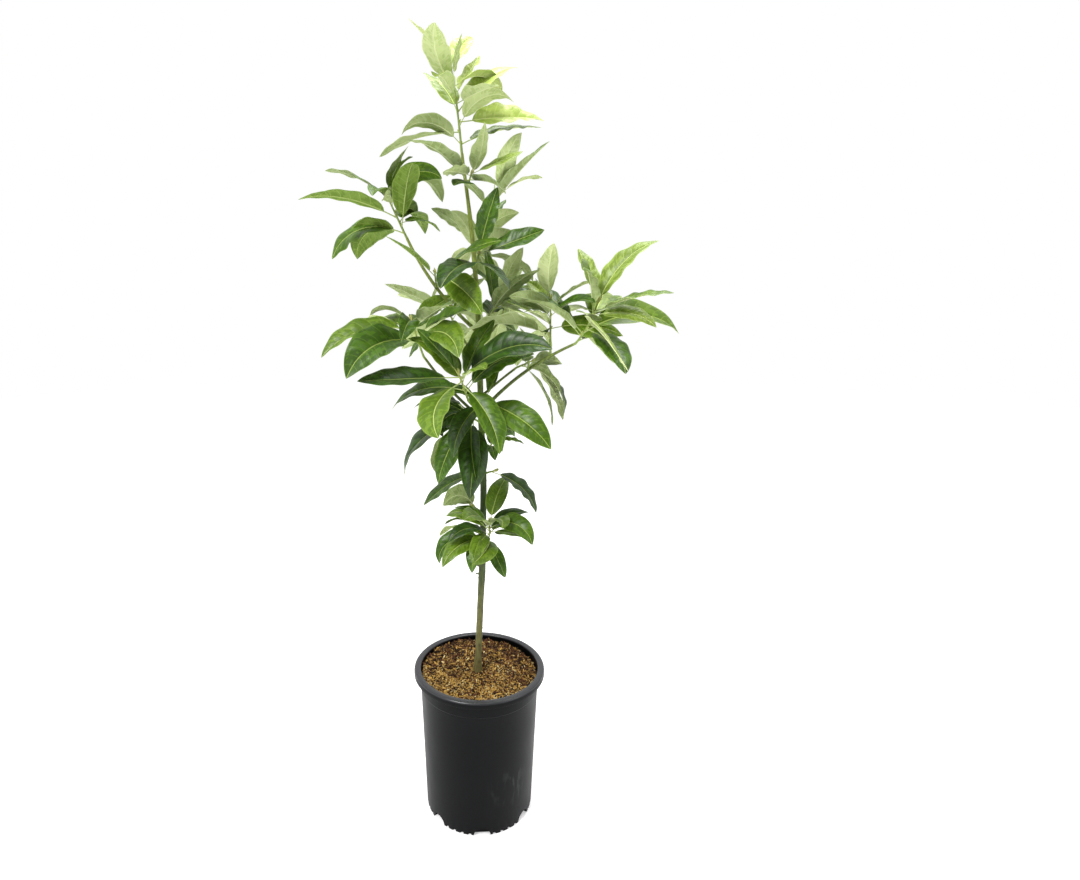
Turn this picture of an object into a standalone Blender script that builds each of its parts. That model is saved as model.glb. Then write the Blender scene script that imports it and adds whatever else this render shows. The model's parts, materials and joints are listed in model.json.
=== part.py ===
"""A young avocado tree growing in a black plastic nursery pot, one named object for each sub-part.

Metres, +Z up. The pot stands on z = 0 with its axis on the Z axis, and the plant's front looks along -Y.
Limbs and leafy shoots grow from the trunk by one rule: a heading, a rise and a length give each stem, and a
seeded spiral of leaves leaves it. Azimuths run from +X towards +Y, and all angles are in degrees.
"""
import math
import random
from typing import NamedTuple

import bmesh
import bpy
import numpy as np
from mathutils import Vector, noise
from mathutils.bvhtree import BVHTree

# Gap between neighbouring solids, and the distance at which vertices are one
CLEAR = 0.0003
WELD = 0.000002

# Pot
POT_HEIGHT = 0.280
RIM_RADIUS = 0.120
LIP_HEIGHT = 0.0117
LIP_ROUNDING = 0.004
WALL = 0.0018
BAND_RADIUS = 0.1090
BAND_HEIGHT = 0.024
BAND_STEP = 0.0012
FOOT_RADIUS = 0.0997
FLOOR = 0.003
FOOT_RING_WIDTH = 0.012
FOOT_RING_HEIGHT = 0.008
FOOT_CHAMFER = 0.001
POT_SIDES = 44
TURN_WELD = 0.00005

# Drain arches and the small teeth between them, round the pot's foot
ARCHES = 7
ARCH_RADIUS = 0.015
ARCH_DEPTH = 0.009
ARCH_AZIMUTH = -87.0
ARCH_SIDES = 20
PITCHES_PER_ARCH = 6
TOOTH_GAP = 0.006
TOOTH_HEIGHT = 0.0055
TOOTH_DEPTH = 0.004

# Potting mix
SOIL_LEVEL = 0.2675
SOIL_TILT = 0.035
SOIL_BUMPS = 0.0035
SOIL_BUMP_SIZE = 0.022
SOIL_FLAT_RADIUS = 0.013
SOIL_RINGS = 5

# Trunk: points on its centreline, and its taper from the soil to its tip
TRUNK_POINTS = (
    (-0.003, 0.000, SOIL_LEVEL),
    (0.002, 0.000, 0.400),
    (0.006, 0.002, 0.500),
    (0.007, 0.003, 0.650),
    (0.003, 0.002, 0.740),
    (-0.002, 0.000, 0.910),
    (-0.012, 0.000, 1.040),
    (-0.027, 0.000, 1.160),
)
TRUNK_FOOT_RADIUS = 0.0059
TRUNK_TIP_RADIUS = 0.0023
TRUNK_TAPER = 2.6
FLARE_RADIUS = 0.0030
FLARE_HEIGHT = 0.010
GRAFT_HEIGHT = 0.460
GRAFT_RADIUS = 0.0011
GRAFT_LENGTH = 0.012

# Boughs and shoot stems
BOUGH_STEPS = 10
STEM_STEPS = 6
STEM_FOOT_RADIUS = 0.0019
STEM_TIP_RADIUS = 0.0011
TIP_RUN = 0.004
SHORTEST_STEP = 0.01
LIMB_ROUNDNESS = 2

# How a limb's foot is seated on its parent: the stretch of parent looked at, and the halvings of the search
FOOT_REACH = 0.06
FOOT_SAMPLES = 61
FOOT_SEARCH = 0.020
FOOT_HALVINGS = 12

# Leaves along a stem: the spiral, how they crowd towards the tip, and how far chance moves each one
LEAF_START = 0.35
SPIRAL = 137.5
CROWDING = 0.85
BEARING_SCATTER = 32.0
SPREAD_SCATTER = 18.0
SPREAD_LIMITS = (5.0, 130.0)
DROOP_SCATTER = 20.0
SIZE_SCATTER = 0.18
SIZE_LIMITS = (0.6, 1.4)
ROLL_SCATTER = 20.0
BEND_SCATTER = 22.0
LEAF_TURNS = (0, 14, -14, 28, -28, 42, -42, 60, -60)
LEVEL_STEM = 0.7

# Each leaf: the way its upper face turns, its arch, and its blade
FACE_ALONG = 0.5
FACE_UP = 0.8
ARCH_POWER = 0.8
DROOP_ROOM = 4.0
LEAF_STEPS = 8
PETIOLE_SHARE = 0.15
PETIOLE_RADIUS = 0.0009
BLADE_WIDTH = 0.41
BLADE_FOLD = 36.0
BLADE_BASE_POWER = 0.62
BLADE_TIP_POWER = 0.85
LEAF_THICKNESS = 0.016
TIP_THINNING = 0.5
LEAF_STATIONS = (0.0, PETIOLE_SHARE, 0.30, 0.50, 0.72, 0.90)
LEAF_MARGIN = 0.0005
CLEAR_STATION = 0.12

# Base colour and roughness of each material
POT_PLASTIC = ("pot plastic", (0.020, 0.021, 0.023), 0.45)
POTTING_MIX = ("potting mix", (0.20, 0.12, 0.055), 0.95)
BARK = ("bark", (0.16, 0.17, 0.075), 0.7)
FOLIAGE = ("foliage", (0.075, 0.16, 0.04), 0.45)

UP = np.array((0.0, 0.0, 1.0))
ACROSS = np.array((1.0, 0.0, 0.0))


class Limb(NamedTuple):
    """A stem that leaves its parent at a share of the parent's length, on a heading that may turn."""
    parent: str
    at: float
    azimuth: float
    sweep: float
    rise: float
    rise_end: float
    length: float
    foot_radius: float = STEM_FOOT_RADIUS
    tip_radius: float = STEM_TIP_RADIUS


class Habit(NamedTuple):
    """How leaves stand: their angle off the stem and how far they arch over, at its foot and at its tip."""
    spread: tuple
    droop: tuple


class Leaves(NamedTuple):
    """The leaves of one shoot, from a share of its stem on, with their length at its foot and at its tip."""
    seed: int
    count: int
    habit: Habit
    length: tuple
    first: float = LEAF_START


# Leaf habits, from the tree's top to its foot
YOUNG = Habit((90, 25), (35, 5))
UPRIGHT = Habit((60, 35), (30, 15))
SPREADING = Habit((85, 45), (50, 30))
ARCHING = Habit((70, 40), (80, 50))
HANGING = Habit((80, 50), (95, 75))

# Each bough: its parent and the share of the parent's length where it leaves, azimuth and the sweep of its
# azimuth, rise at the foot and at the tip, length, radius at the foot and at the tip
BOUGHS = {
    "bough_left": Limb("trunk", 0.69, 180, 0, 40, 65, 0.190, 0.0031, 0.0022),
    "bough_right": Limb("trunk", 0.54, 335, 15, 50, 25, 0.195, 0.0031, 0.0021),
    "bough_right_inner": Limb("trunk", 0.57, 15, 0, 40, 35, 0.075, 0.0022, 0.0019),
    "bough_mid_left": Limb("trunk", 0.53, 195, 0, 40, 55, 0.140, 0.0027, 0.0020),
    "bough_front_left": Limb("trunk", 0.545, 250, 0, 15, 30, 0.060, 0.0024, 0.0020),
    "bough_back_left": Limb("trunk", 0.64, 115, 0, 20, 35, 0.120, 0.0025, 0.0019),
    "bough_back_right": Limb("trunk", 0.67, 65, 0, 15, 35, 0.110, 0.0025, 0.0019),
}

# Each shoot: its stem as above, then the seed and number of its leaves, their habit, and their length at the
# foot and at the tip
SHOOTS = {
    "crown_top": (Limb("trunk", 1, 180, 0, 85, 80, 0.125),
                  Leaves(21, 10, YOUNG, (0.145, 0.060), 0.1)),
    "leader_upper": (Limb("trunk", 0.94, 290, 0, 40, 40, 0.030),
                     Leaves(25, 5, UPRIGHT, (0.110, 0.080))),
    "side_shoot": (Limb("trunk", 0.87, 355, 0, 50, 50, 0.075),
                   Leaves(30, 5, ARCHING, (0.120, 0.090), 0.5)),
    "left_tip": (Limb("bough_left", 1, 180, 0, 65, 65, 0.070),
                 Leaves(12, 10, ARCHING, (0.155, 0.085), 0.1)),
    "left_side": (Limb("bough_left", 0.5, 270, 0, 30, 30, 0.045),
                  Leaves(14, 3, UPRIGHT, (0.140, 0.120))),
    "leader_mid": (Limb("trunk", 0.80, 280, 0, 35, 35, 0.045),
                   Leaves(25, 6, UPRIGHT, (0.110, 0.100))),
    "right_upper": (Limb("trunk", 0.70, 20, 0, 45, 45, 0.050),
                    Leaves(16, 7, UPRIGHT, (0.110, 0.090))),
    "right_mid": (Limb("bough_right", 0.78, 90, 0, 80, 80, 0.090),
                  Leaves(10, 9, UPRIGHT, (0.110, 0.090))),
    "right_tip": (Limb("bough_right", 1, 340, 0, 50, 75, 0.070),
                  Leaves(24, 10, SPREADING, (0.160, 0.115), 0.1)),
    "mid_left_tip": (Limb("bough_mid_left", 1, 180, 0, 70, 75, 0.060),
                     Leaves(3, 11, SPREADING, (0.130, 0.105))),
    "left_centre": (Limb("bough_front_left", 1, 250, 0, 50, 50, 0.060),
                    Leaves(21, 12, SPREADING, (0.130, 0.110))),
    "centre_front": (Limb("trunk", 0.55, 275, 0, 20, 20, 0.070),
                     Leaves(5, 6, SPREADING, (0.130, 0.105), 0.5)),
    "whorl": (Limb("trunk", 0.52, 240, 0, 25, 25, 0.045),
              Leaves(25, 7, HANGING, (0.125, 0.105), 0.5)),
    "right_droop": (Limb("bough_right_inner", 1, 20, 0, 20, 20, 0.030),
                    Leaves(23, 5, HANGING, (0.120, 0.100))),
    "right_inner": (Limb("bough_right", 0.55, 270, 0, 80, 80, 0.040),
                    Leaves(8, 6, UPRIGHT, (0.065, 0.050))),
    "small_right": (Limb("trunk", 0.45, 340, 0, 60, 60, 0.035),
                    Leaves(11, 5, ARCHING, (0.070, 0.055))),
    "lower_shoot": (Limb("trunk", 0.27, 290, 0, 20, 95, 0.070),
                    Leaves(5, 13, ARCHING, (0.110, 0.085))),
    "leaf_left": (Limb("trunk", 0.41, 210, 0, 20, 20, 0.020),
                  Leaves(8, 1, SPREADING, (0.130, 0.130), 0.6)),
    "leaf_right": (Limb("trunk", 0.42, 340, 0, 20, 20, 0.020),
                   Leaves(27, 1, SPREADING, (0.105, 0.105), 0.6)),
    "leaf_low": (Limb("trunk", 0.34, 160, 0, 30, 30, 0.020),
                 Leaves(19, 1, HANGING, (0.110, 0.110), 0.6)),
    "back_left": (Limb("bough_back_left", 1, 115, 0, 40, 40, 0.045),
                  Leaves(12, 11, SPREADING, (0.115, 0.095), 0.1)),
    "back_right": (Limb("bough_back_right", 1, 75, 0, 45, 45, 0.050),
                   Leaves(7, 11, SPREADING, (0.115, 0.095), 0.1)),
    "back_top": (Limb("trunk", 0.80, 90, 0, 25, 60, 0.085),
                 Leaves(9, 10, SPREADING, (0.110, 0.090))),
}


def clear_scene():
    for scene_object in list(bpy.data.objects):
        bpy.data.objects.remove(scene_object, do_unlink=True)


def new_collection(name):
    collection = bpy.data.collections.new(name)
    bpy.context.scene.collection.children.link(collection)
    return collection


def principled(name, colour, roughness):
    material = bpy.data.materials.new(name)
    material.use_nodes = True
    shader = material.node_tree.nodes["Principled BSDF"]
    shader.inputs["Base Color"].default_value = (*colour, 1.0)
    shader.inputs["Roughness"].default_value = roughness
    shader.inputs["Metallic"].default_value = 0.0
    return material


def add_object(name, data, collection, material=None):
    new_object = bpy.data.objects.new(name, data)
    collection.objects.link(new_object)
    if material:
        data.materials.clear()
        data.materials.append(material)
    return new_object


def evaluated_mesh(source):
    bpy.context.view_layer.update()
    graph = bpy.context.evaluated_depsgraph_get()
    return bpy.data.meshes.new_from_object(source.evaluated_get(graph))


def arc(centre_x, centre_z, radius, start, end, steps):
    """Points of an arc in the XZ plane, angles from +X towards +Z."""
    angles = np.radians(np.linspace(start, end, steps + 1))
    return [(centre_x + radius * math.cos(a), centre_z + radius * math.sin(a)) for a in angles]


def turned_object(name, profile, collection, material):
    """Turns a profile of (radius, height) points, whose ends lie on the axis, into a solid."""
    mesh = bpy.data.meshes.new(name)
    edges = [(i, i + 1) for i in range(len(profile) - 1)]
    mesh.from_pydata([(radius, 0.0, height) for radius, height in profile], edges, [])
    turned = add_object(name, mesh, collection, material)
    screw = turned.modifiers.new("turn", "SCREW")
    screw.steps = POT_SIDES
    screw.render_steps = POT_SIDES
    screw.use_merge_vertices = True
    screw.merge_threshold = TURN_WELD
    return turned


def body_radius(height):
    """Outer radius of the pot's plain side at a height."""
    top_radius = BAND_RADIUS - BAND_STEP
    return FOOT_RADIUS + (top_radius - FOOT_RADIUS) * height / (POT_HEIGHT - LIP_HEIGHT - BAND_HEIGHT)


def pot_profile():
    """From the inside of the floor up the inner wall, over the rim and down the outside to the centre."""
    lip_under = POT_HEIGHT - WALL
    band_foot = POT_HEIGHT - LIP_HEIGHT - BAND_HEIGHT
    ring_inner = FOOT_RADIUS - FOOT_RING_WIDTH
    inner_rim = BAND_RADIUS - WALL
    profile = [
        (0.0, FLOOR),
        (ring_inner, FLOOR),
        (ring_inner + FLOOR, FOOT_RING_HEIGHT),
        (body_radius(FOOT_RING_HEIGHT) - WALL, FOOT_RING_HEIGHT),
        (inner_rim - BAND_STEP, band_foot),
        (inner_rim, band_foot + BAND_STEP),
    ]
    profile += arc(inner_rim + WALL, POT_HEIGHT - WALL, WALL, 180, 90, 2)
    profile += arc(RIM_RADIUS - LIP_ROUNDING, POT_HEIGHT - LIP_ROUNDING, LIP_ROUNDING, 90, 0, 4)
    profile += [
        (RIM_RADIUS, POT_HEIGHT - LIP_HEIGHT),
        (RIM_RADIUS - WALL, POT_HEIGHT - LIP_HEIGHT),
        (RIM_RADIUS - WALL, lip_under - WALL),
        (RIM_RADIUS - 2 * WALL, lip_under),
        (BAND_RADIUS, lip_under),
        (BAND_RADIUS, band_foot),
        (BAND_RADIUS - BAND_STEP, band_foot - BAND_STEP),
        (FOOT_RADIUS, FOOT_CHAMFER),
        (FOOT_RADIUS - FOOT_CHAMFER, 0.0),
        (0.0, 0.0),
    ]
    return profile


def cutter_at(cutter, azimuth, radius):
    a = math.radians(azimuth)
    cutter.rotation_euler = (0.0, 0.0, a)
    cutter.location = (radius * math.cos(a), radius * math.sin(a), 0.0)
    cutter.hide_render = True
    cutter.display_type = "WIRE"


def add_foot_cutters(cutters):
    """Drain arches, and the gaps between the teeth that stand between two arches."""
    arch_mesh = bpy.data.meshes.new("arch_cutter")
    shape = bmesh.new()
    bmesh.ops.create_cone(shape, cap_ends=True, segments=ARCH_SIDES, radius1=ARCH_RADIUS,
                          radius2=ARCH_RADIUS, depth=2 * ARCH_DEPTH)
    bmesh.ops.rotate(shape, verts=shape.verts, matrix=Vector((1, 0, 0)).to_track_quat("Z", "Y").to_matrix())
    shape.to_mesh(arch_mesh)
    shape.free()
    gap_mesh = bpy.data.meshes.new("gap_cutter")
    shape = bmesh.new()
    bmesh.ops.create_cube(shape, size=1.0)
    bmesh.ops.scale(shape, verts=shape.verts, vec=(2 * TOOTH_DEPTH, TOOTH_GAP, 2 * TOOTH_HEIGHT))
    shape.to_mesh(gap_mesh)
    shape.free()
    pitch = 360.0 / (ARCHES * PITCHES_PER_ARCH)
    for number in range(ARCHES * PITCHES_PER_ARCH):
        azimuth = ARCH_AZIMUTH + pitch * number
        place = number % PITCHES_PER_ARCH
        if place == 0:
            cutter_at(add_object(f"arch_cutter_{number}", arch_mesh, cutters), azimuth, FOOT_RADIUS)
        elif 1 < place < PITCHES_PER_ARCH:
            gap = add_object(f"gap_cutter_{number}", gap_mesh, cutters)
            cutter_at(gap, azimuth - pitch / 2, FOOT_RADIUS)


def add_pot(collection, cutters):
    pot = turned_object("pot", pot_profile(), collection, principled(*POT_PLASTIC))
    add_foot_cutters(cutters)
    cut = pot.modifiers.new("foot cuts", "BOOLEAN")
    cut.operation = "DIFFERENCE"
    cut.operand_type = "COLLECTION"
    cut.collection = cutters
    pot.data.shade_smooth()
    return pot


def soil_height(x, y):
    """Height of the potting mix: level round the trunk, a little higher to the left, with soft lumps."""
    away = max(0.0, math.hypot(x - TRUNK_POINTS[0][0], y - TRUNK_POINTS[0][1]) - SOIL_FLAT_RADIUS)
    fade = min(1.0, away / SOIL_BUMP_SIZE)
    lumps = noise.noise(Vector((x, y, 0.0)) / SOIL_BUMP_SIZE)
    return SOIL_LEVEL - CLEAR - SOIL_TILT * x * fade + SOIL_BUMPS * lumps * fade


def add_soil(collection):
    """The potting mix fills the pot, a gap clear of its wall and floor, with an uneven top."""
    edge = body_radius(SOIL_LEVEL) - WALL - 2 * CLEAR - BAND_STEP
    ring_inner = FOOT_RADIUS - FOOT_RING_WIDTH
    profile = [(edge * ring / SOIL_RINGS, SOIL_LEVEL) for ring in range(SOIL_RINGS + 1)]
    profile += [
        (body_radius(0.5 * POT_HEIGHT) - WALL - 2 * CLEAR, 0.5 * POT_HEIGHT),
        (body_radius(FOOT_RING_HEIGHT) - WALL - 2 * CLEAR, FOOT_RING_HEIGHT + CLEAR),
        (ring_inner + FLOOR - CLEAR, FOOT_RING_HEIGHT + CLEAR),
        (ring_inner - 2 * CLEAR, FLOOR + CLEAR),
        (0.0, FLOOR + CLEAR),
    ]
    turned = turned_object("soil turned", profile, collection, principled(*POTTING_MIX))
    mesh = evaluated_mesh(turned)
    bpy.data.objects.remove(turned)
    for vertex in mesh.vertices:
        if vertex.co.z > SOIL_LEVEL - CLEAR:
            vertex.co.z = soil_height(vertex.co.x, vertex.co.y)
    mesh.shade_smooth()
    return add_object("soil", mesh, collection)


def unit(vector):
    return vector / np.linalg.norm(vector)


def heading(azimuth, rise):
    a, r = math.radians(azimuth), math.radians(rise)
    return np.array((math.cos(a) * math.cos(r), math.sin(a) * math.cos(r), math.sin(r)))


def between(ends, share):
    return ends[0] + (ends[1] - ends[0]) * share


def limited(value, limits):
    return min(limits[1], max(limits[0], value))


def turned_vector(vector, axis, degrees):
    a = math.radians(degrees)
    along = axis * float(axis @ vector) * (1.0 - math.cos(a))
    return vector * math.cos(a) + np.cross(axis, vector) * math.sin(a) + along


def smooth_path(points, per_stretch=4):
    """A Catmull-Rom curve through points."""
    p = np.array(points)
    p = np.vstack((2 * p[0] - p[1], p, 2 * p[-1] - p[-2]))
    path = []
    for i in range(1, len(p) - 2):
        for t in np.arange(per_stretch) / per_stretch:
            bend = (2 * p[i - 1] - 5 * p[i] + 4 * p[i + 1] - p[i + 2]) * t ** 2
            twist = (3 * p[i] - p[i - 1] - 3 * p[i + 1] + p[i + 2]) * t ** 3
            path.append(0.5 * (2 * p[i] + (p[i + 1] - p[i - 1]) * t + bend + twist))
    path.append(p[-2])
    return np.array(path)


def grown_path(start, limb, steps):
    """The centreline of a limb: equal steps along a heading that turns evenly from foot to tip."""
    path = [start]
    for i in range(steps):
        share = (i + 0.5) / steps
        ahead = heading(limb.azimuth + limb.sweep * share, limb.rise + (limb.rise_end - limb.rise) * share)
        path.append(path[-1] + ahead * limb.length / steps)
    return np.array(path)


def shares(path):
    lengths = np.linalg.norm(np.diff(path, axis=0), axis=1)
    run = np.concatenate(((0.0,), np.cumsum(lengths)))
    return run / run[-1]


def point_on(path, share):
    """The point at a share of a path's length, and the path's direction there."""
    run = shares(path)
    point = np.array([np.interp(share, run, path[:, i]) for i in range(3)])
    step = min(int(np.searchsorted(run, share, side="right")) - 1, len(path) - 2)
    return point, unit(path[step + 1] - path[step])


def cut_start(path, distance):
    """The path without its first stretch."""
    length = np.linalg.norm(np.diff(path, axis=0), axis=1).sum()
    start, _ = point_on(path, distance / length)
    kept = path[shares(path) > distance / length + SHORTEST_STEP]
    return np.vstack((start, kept))


def trunk_radius(height, share):
    flare = FLARE_RADIUS * math.exp(-(height - SOIL_LEVEL) / FLARE_HEIGHT)
    graft = GRAFT_RADIUS * math.exp(-((height - GRAFT_HEIGHT) / GRAFT_LENGTH) ** 2)
    taper = TRUNK_TIP_RADIUS + (TRUNK_FOOT_RADIUS - TRUNK_TIP_RADIUS) * (1.0 - share ** TRUNK_TAPER)
    return taper + flare + graft


def stem_radius(limb, share):
    return limb.foot_radius + (limb.tip_radius - limb.foot_radius) * share


def foot_gap(path, distance, limb, parent, parent_radii):
    """How far the nearest edge of a limb's flat foot would stand off its parent, were it cut there."""
    length = np.linalg.norm(np.diff(path, axis=0), axis=1).sum()
    centre, ahead = point_on(path, distance / length)
    run = np.linspace(limb.at, min(1.0, limb.at + FOOT_REACH), FOOT_SAMPLES)
    axis = np.array([point_on(parent, share)[0] for share in run])
    away = np.linalg.norm(axis - centre, axis=1)
    near = int(np.argmin(away))
    slant = abs(float(ahead @ point_on(parent, run[near])[1]))
    parent_radius = float(np.interp(run[near], shares(parent), parent_radii))
    return away[near] - parent_radius - limb.foot_radius * slant


def limb_path(limb, steps, paths, radii):
    """Where a limb runs, a gap clear of its parent: in line with the parent's tip, or out of its side."""
    parent = paths[limb.parent]
    start, along = point_on(parent, limb.at)
    if limb.at >= 1.0:
        run_in = start + along * (CLEAR + TIP_RUN)
        return np.vstack((start + along * CLEAR, grown_path(run_in, limb, steps)))
    path = grown_path(start, limb, steps)
    inside, outside = 0.0, FOOT_SEARCH
    for _ in range(FOOT_HALVINGS):
        middle = 0.5 * (inside + outside)
        if foot_gap(path, middle, limb, parent, radii[limb.parent]) < CLEAR:
            inside = middle
        else:
            outside = middle
    return cut_start(path, outside)


def tube_curve(name, path, radii, resolution):
    """A tapering tube along a path, with flat ends."""
    curve = bpy.data.curves.new(name, "CURVE")
    curve.dimensions = "3D"
    curve.bevel_depth = 1.0
    curve.bevel_resolution = resolution
    curve.use_fill_caps = True
    spline = curve.splines.new("POLY")
    spline.points.add(len(path) - 1)
    for point, position, radius in zip(spline.points, path, radii):
        point.co = (*position, 1.0)
        point.radius = radius
    return curve


def skins_of(shape):
    """The faces of each connected skin of a mesh, the one with the most faces first."""
    unseen = set(shape.faces)
    skins = []
    while unseen:
        reached = {unseen.pop()}
        skin = list(reached)
        while reached:
            edges = {edge for face in reached for edge in face.edges}
            reached = {face for edge in edges for face in edge.link_faces} & unseen
            unseen -= reached
            skin += reached
        skins.append(skin)
    return sorted(skins, key=len, reverse=True)


def welded(mesh):
    """Joins vertices that coincide, such as those of a curve's caps, and turns all faces outwards."""
    shape = bmesh.new()
    shape.from_mesh(mesh)
    bmesh.ops.remove_doubles(shape, verts=shape.verts, dist=WELD)
    bmesh.ops.recalc_face_normals(shape, faces=shape.faces)
    shape.to_mesh(mesh)
    shape.free()
    return mesh


def outer_skin(mesh):
    """Keeps a joined solid's outer skin, which drops loose scraps and fills sealed hollows."""
    shape = bmesh.new()
    shape.from_mesh(mesh)
    for skin in skins_of(shape)[1:]:
        bmesh.ops.delete(shape, geom=skin, context="FACES")
    bmesh.ops.triangulate(shape, faces=shape.faces)
    shape.to_mesh(mesh)
    shape.free()
    return mesh


def mesh_from_curve(curve):
    holder = bpy.data.objects.new("stem curve", curve)
    bpy.context.scene.collection.objects.link(holder)
    mesh = evaluated_mesh(holder)
    bpy.data.objects.remove(holder)
    return welded(mesh)


def add_limb(name, path, radii, collection, material):
    return add_object(name, tube_curve(name, path, radii, LIMB_ROUNDNESS), collection, material)


def leaf_plans(path, leaves):
    """Foot, direction, upper face, length, droop and bend of each leaf of a shoot, for each turn tried."""
    chance = random.Random(leaves.seed)
    start = chance.uniform(0.0, 360.0)
    first_step = unit(path[1] - path[0])
    reference = ACROSS if abs(first_step[0]) < LEVEL_STEM else UP
    for number in range(leaves.count):
        young = number / max(leaves.count - 1, 1)
        foot, along = point_on(path, leaves.first + (1.0 - leaves.first) * young ** CROWDING)
        side = unit(reference - float(reference @ along) * along)
        scatter = [chance.gauss(0.0, 1.0) for _ in range(6)]
        spread = between(leaves.habit.spread, young) + SPREAD_SCATTER * scatter[1]
        droop = between(leaves.habit.droop, young) + DROOP_SCATTER * scatter[2]
        length = between(leaves.length, young) * limited(1.0 + SIZE_SCATTER * scatter[3], SIZE_LIMITS)
        tries = []
        for turn in LEAF_TURNS:
            bearing = start + number * SPIRAL + BEARING_SCATTER * scatter[0] + turn
            outward = turned_vector(side, along, bearing)
            angle = math.radians(limited(spread, SPREAD_LIMITS))
            direction = unit(along * math.cos(angle) + outward * math.sin(angle))
            face = along * FACE_ALONG + UP * FACE_UP
            face = unit(face - float(face @ direction) * direction)
            face = turned_vector(face, direction, ROLL_SCATTER * scatter[4])
            tries.append((foot, direction, face, length, max(0.0, droop), BEND_SCATTER * scatter[5]))
        yield tries


def midrib(foot, direction, face, length, droop, bend):
    """The leaf's centreline, which arches over towards the ground and bends sideways, with its faces."""
    axis = np.cross(direction, -UP)
    axis = unit(axis) if np.linalg.norm(axis) > 1e-6 else ACROSS
    room = math.degrees(math.acos(limited(float(direction @ -UP), (-1.0, 1.0))))
    total = max(0.0, min(droop, room - DROOP_ROOM))
    points, directions, faces = [foot], [direction], [face]
    for i in range(LEAF_STEPS):
        arch = total * (1.0 + ARCH_POWER) * ((i + 0.5) / LEAF_STEPS) ** ARCH_POWER / LEAF_STEPS
        direction = turned_vector(direction, axis, arch)
        face = turned_vector(face, axis, arch)
        direction = turned_vector(direction, face, bend / LEAF_STEPS)
        points.append(points[-1] + direction * length / LEAF_STEPS)
        directions.append(direction)
        faces.append(face)
    return np.array(points), np.array(directions), np.array(faces)


def blade_half_width(share, length):
    """Half the leaf's width at a share of its length; the petiole has its own width."""
    t = (share - PETIOLE_SHARE) / (1.0 - PETIOLE_SHARE)
    if t <= 0.0:
        return PETIOLE_RADIUS
    widest = BLADE_BASE_POWER / (BLADE_BASE_POWER + BLADE_TIP_POWER)
    peak = widest ** BLADE_BASE_POWER * (1.0 - widest) ** BLADE_TIP_POWER
    half = 0.5 * BLADE_WIDTH * (1.0 - PETIOLE_SHARE) * length
    return max(PETIOLE_RADIUS, half * t ** BLADE_BASE_POWER * (1.0 - t) ** BLADE_TIP_POWER / peak)


def leaf_solid(plan, margin=0.0, start=0.0):
    """Vertices and triangles of a leaf: four-sided sections, folded up along the midrib, from foot to tip."""
    length = plan[3]
    points, directions, faces = midrib(*plan)
    at = np.linspace(0.0, 1.0, len(points))
    vertices = []
    for share in (max(station, start) for station in LEAF_STATIONS):
        point, direction, face = (np.array([np.interp(share, at, rows[:, i]) for i in range(3)])
                                  for rows in (points, directions, faces))
        face = unit(face - float(face @ unit(direction)) * unit(direction))
        across = np.cross(unit(direction), face)
        half = blade_half_width(share, length) + margin
        fold = math.radians(BLADE_FOLD) if share > PETIOLE_SHARE else 0.0
        thinned = 0.5 * LEAF_THICKNESS * length * (1.0 - TIP_THINNING * share)
        thick = max(PETIOLE_RADIUS, thinned) + margin
        lift = face * half * math.sin(fold)
        vertices += [point + across * half * math.cos(fold) + lift, point + face * thick,
                     point - across * half * math.cos(fold) + lift, point - face * thick]
    vertices.append(points[-1] + directions[-1] * margin)
    triangles = [(0, 1, 2), (0, 2, 3)]
    for row in range(0, len(vertices) - 5, 4):
        for k in range(4):
            a, b = row + k, row + (k + 1) % 4
            triangles += [(a, a + 4, b), (b, a + 4, b + 4)]
    tip = len(vertices) - 1
    triangles += [(tip - 4 + k, tip, tip - 4 + (k + 1) % 4) for k in range(4)]
    return vertices, triangles


def tree_of(vertices, triangles):
    return BVHTree.FromPolygons([Vector(v) for v in vertices], triangles)


def mesh_tree(mesh):
    mesh.calc_loop_triangles()
    triangles = [tuple(triangle.vertices) for triangle in mesh.loop_triangles]
    return BVHTree.FromPolygons([vertex.co for vertex in mesh.vertices], triangles)


def leaves_that_fit(path, leaves, stem_tree, standing):
    """The shoot's leaves, each turned about the stem until it is clear; one that never is, is left out."""
    kept = []
    for tries in leaf_plans(path, leaves):
        for plan in tries:
            whole = tree_of(*leaf_solid(plan, LEAF_MARGIN))
            blade = tree_of(*leaf_solid(plan, LEAF_MARGIN, CLEAR_STATION))
            clear = not blade.overlap(stem_tree)
            clear = clear and not any(whole.overlap(other) for other in standing)
            if clear and not any(blade.overlap(other) for _, other in kept):
                kept.append((plan, blade))
                break
    return [plan for plan, _ in kept]


def joined(name, stem_mesh, plans, collection, material):
    """One solid of a stem and its leaves, whose petioles start on the stem's centreline."""
    leaves = new_collection(name + " leaves")
    for number, plan in enumerate(plans):
        leaf = bpy.data.meshes.new(f"{name} leaf {number}")
        vertices, triangles = leaf_solid(plan)
        leaf.from_pydata([tuple(v) for v in vertices], [], triangles)
        add_object(f"{name} leaf {number}", welded(leaf), leaves)
    stem = add_object(name + " stem", stem_mesh, collection)
    union = stem.modifiers.new("leaves", "BOOLEAN")
    union.operation = "UNION"
    union.operand_type = "COLLECTION"
    union.collection = leaves
    union.solver = "MANIFOLD"
    mesh = evaluated_mesh(stem)
    for used in [stem, *leaves.objects]:
        bpy.data.objects.remove(used)
    bpy.data.collections.remove(leaves)
    mesh.materials.clear()
    return add_object(name, outer_skin(mesh), collection, material)


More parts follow.
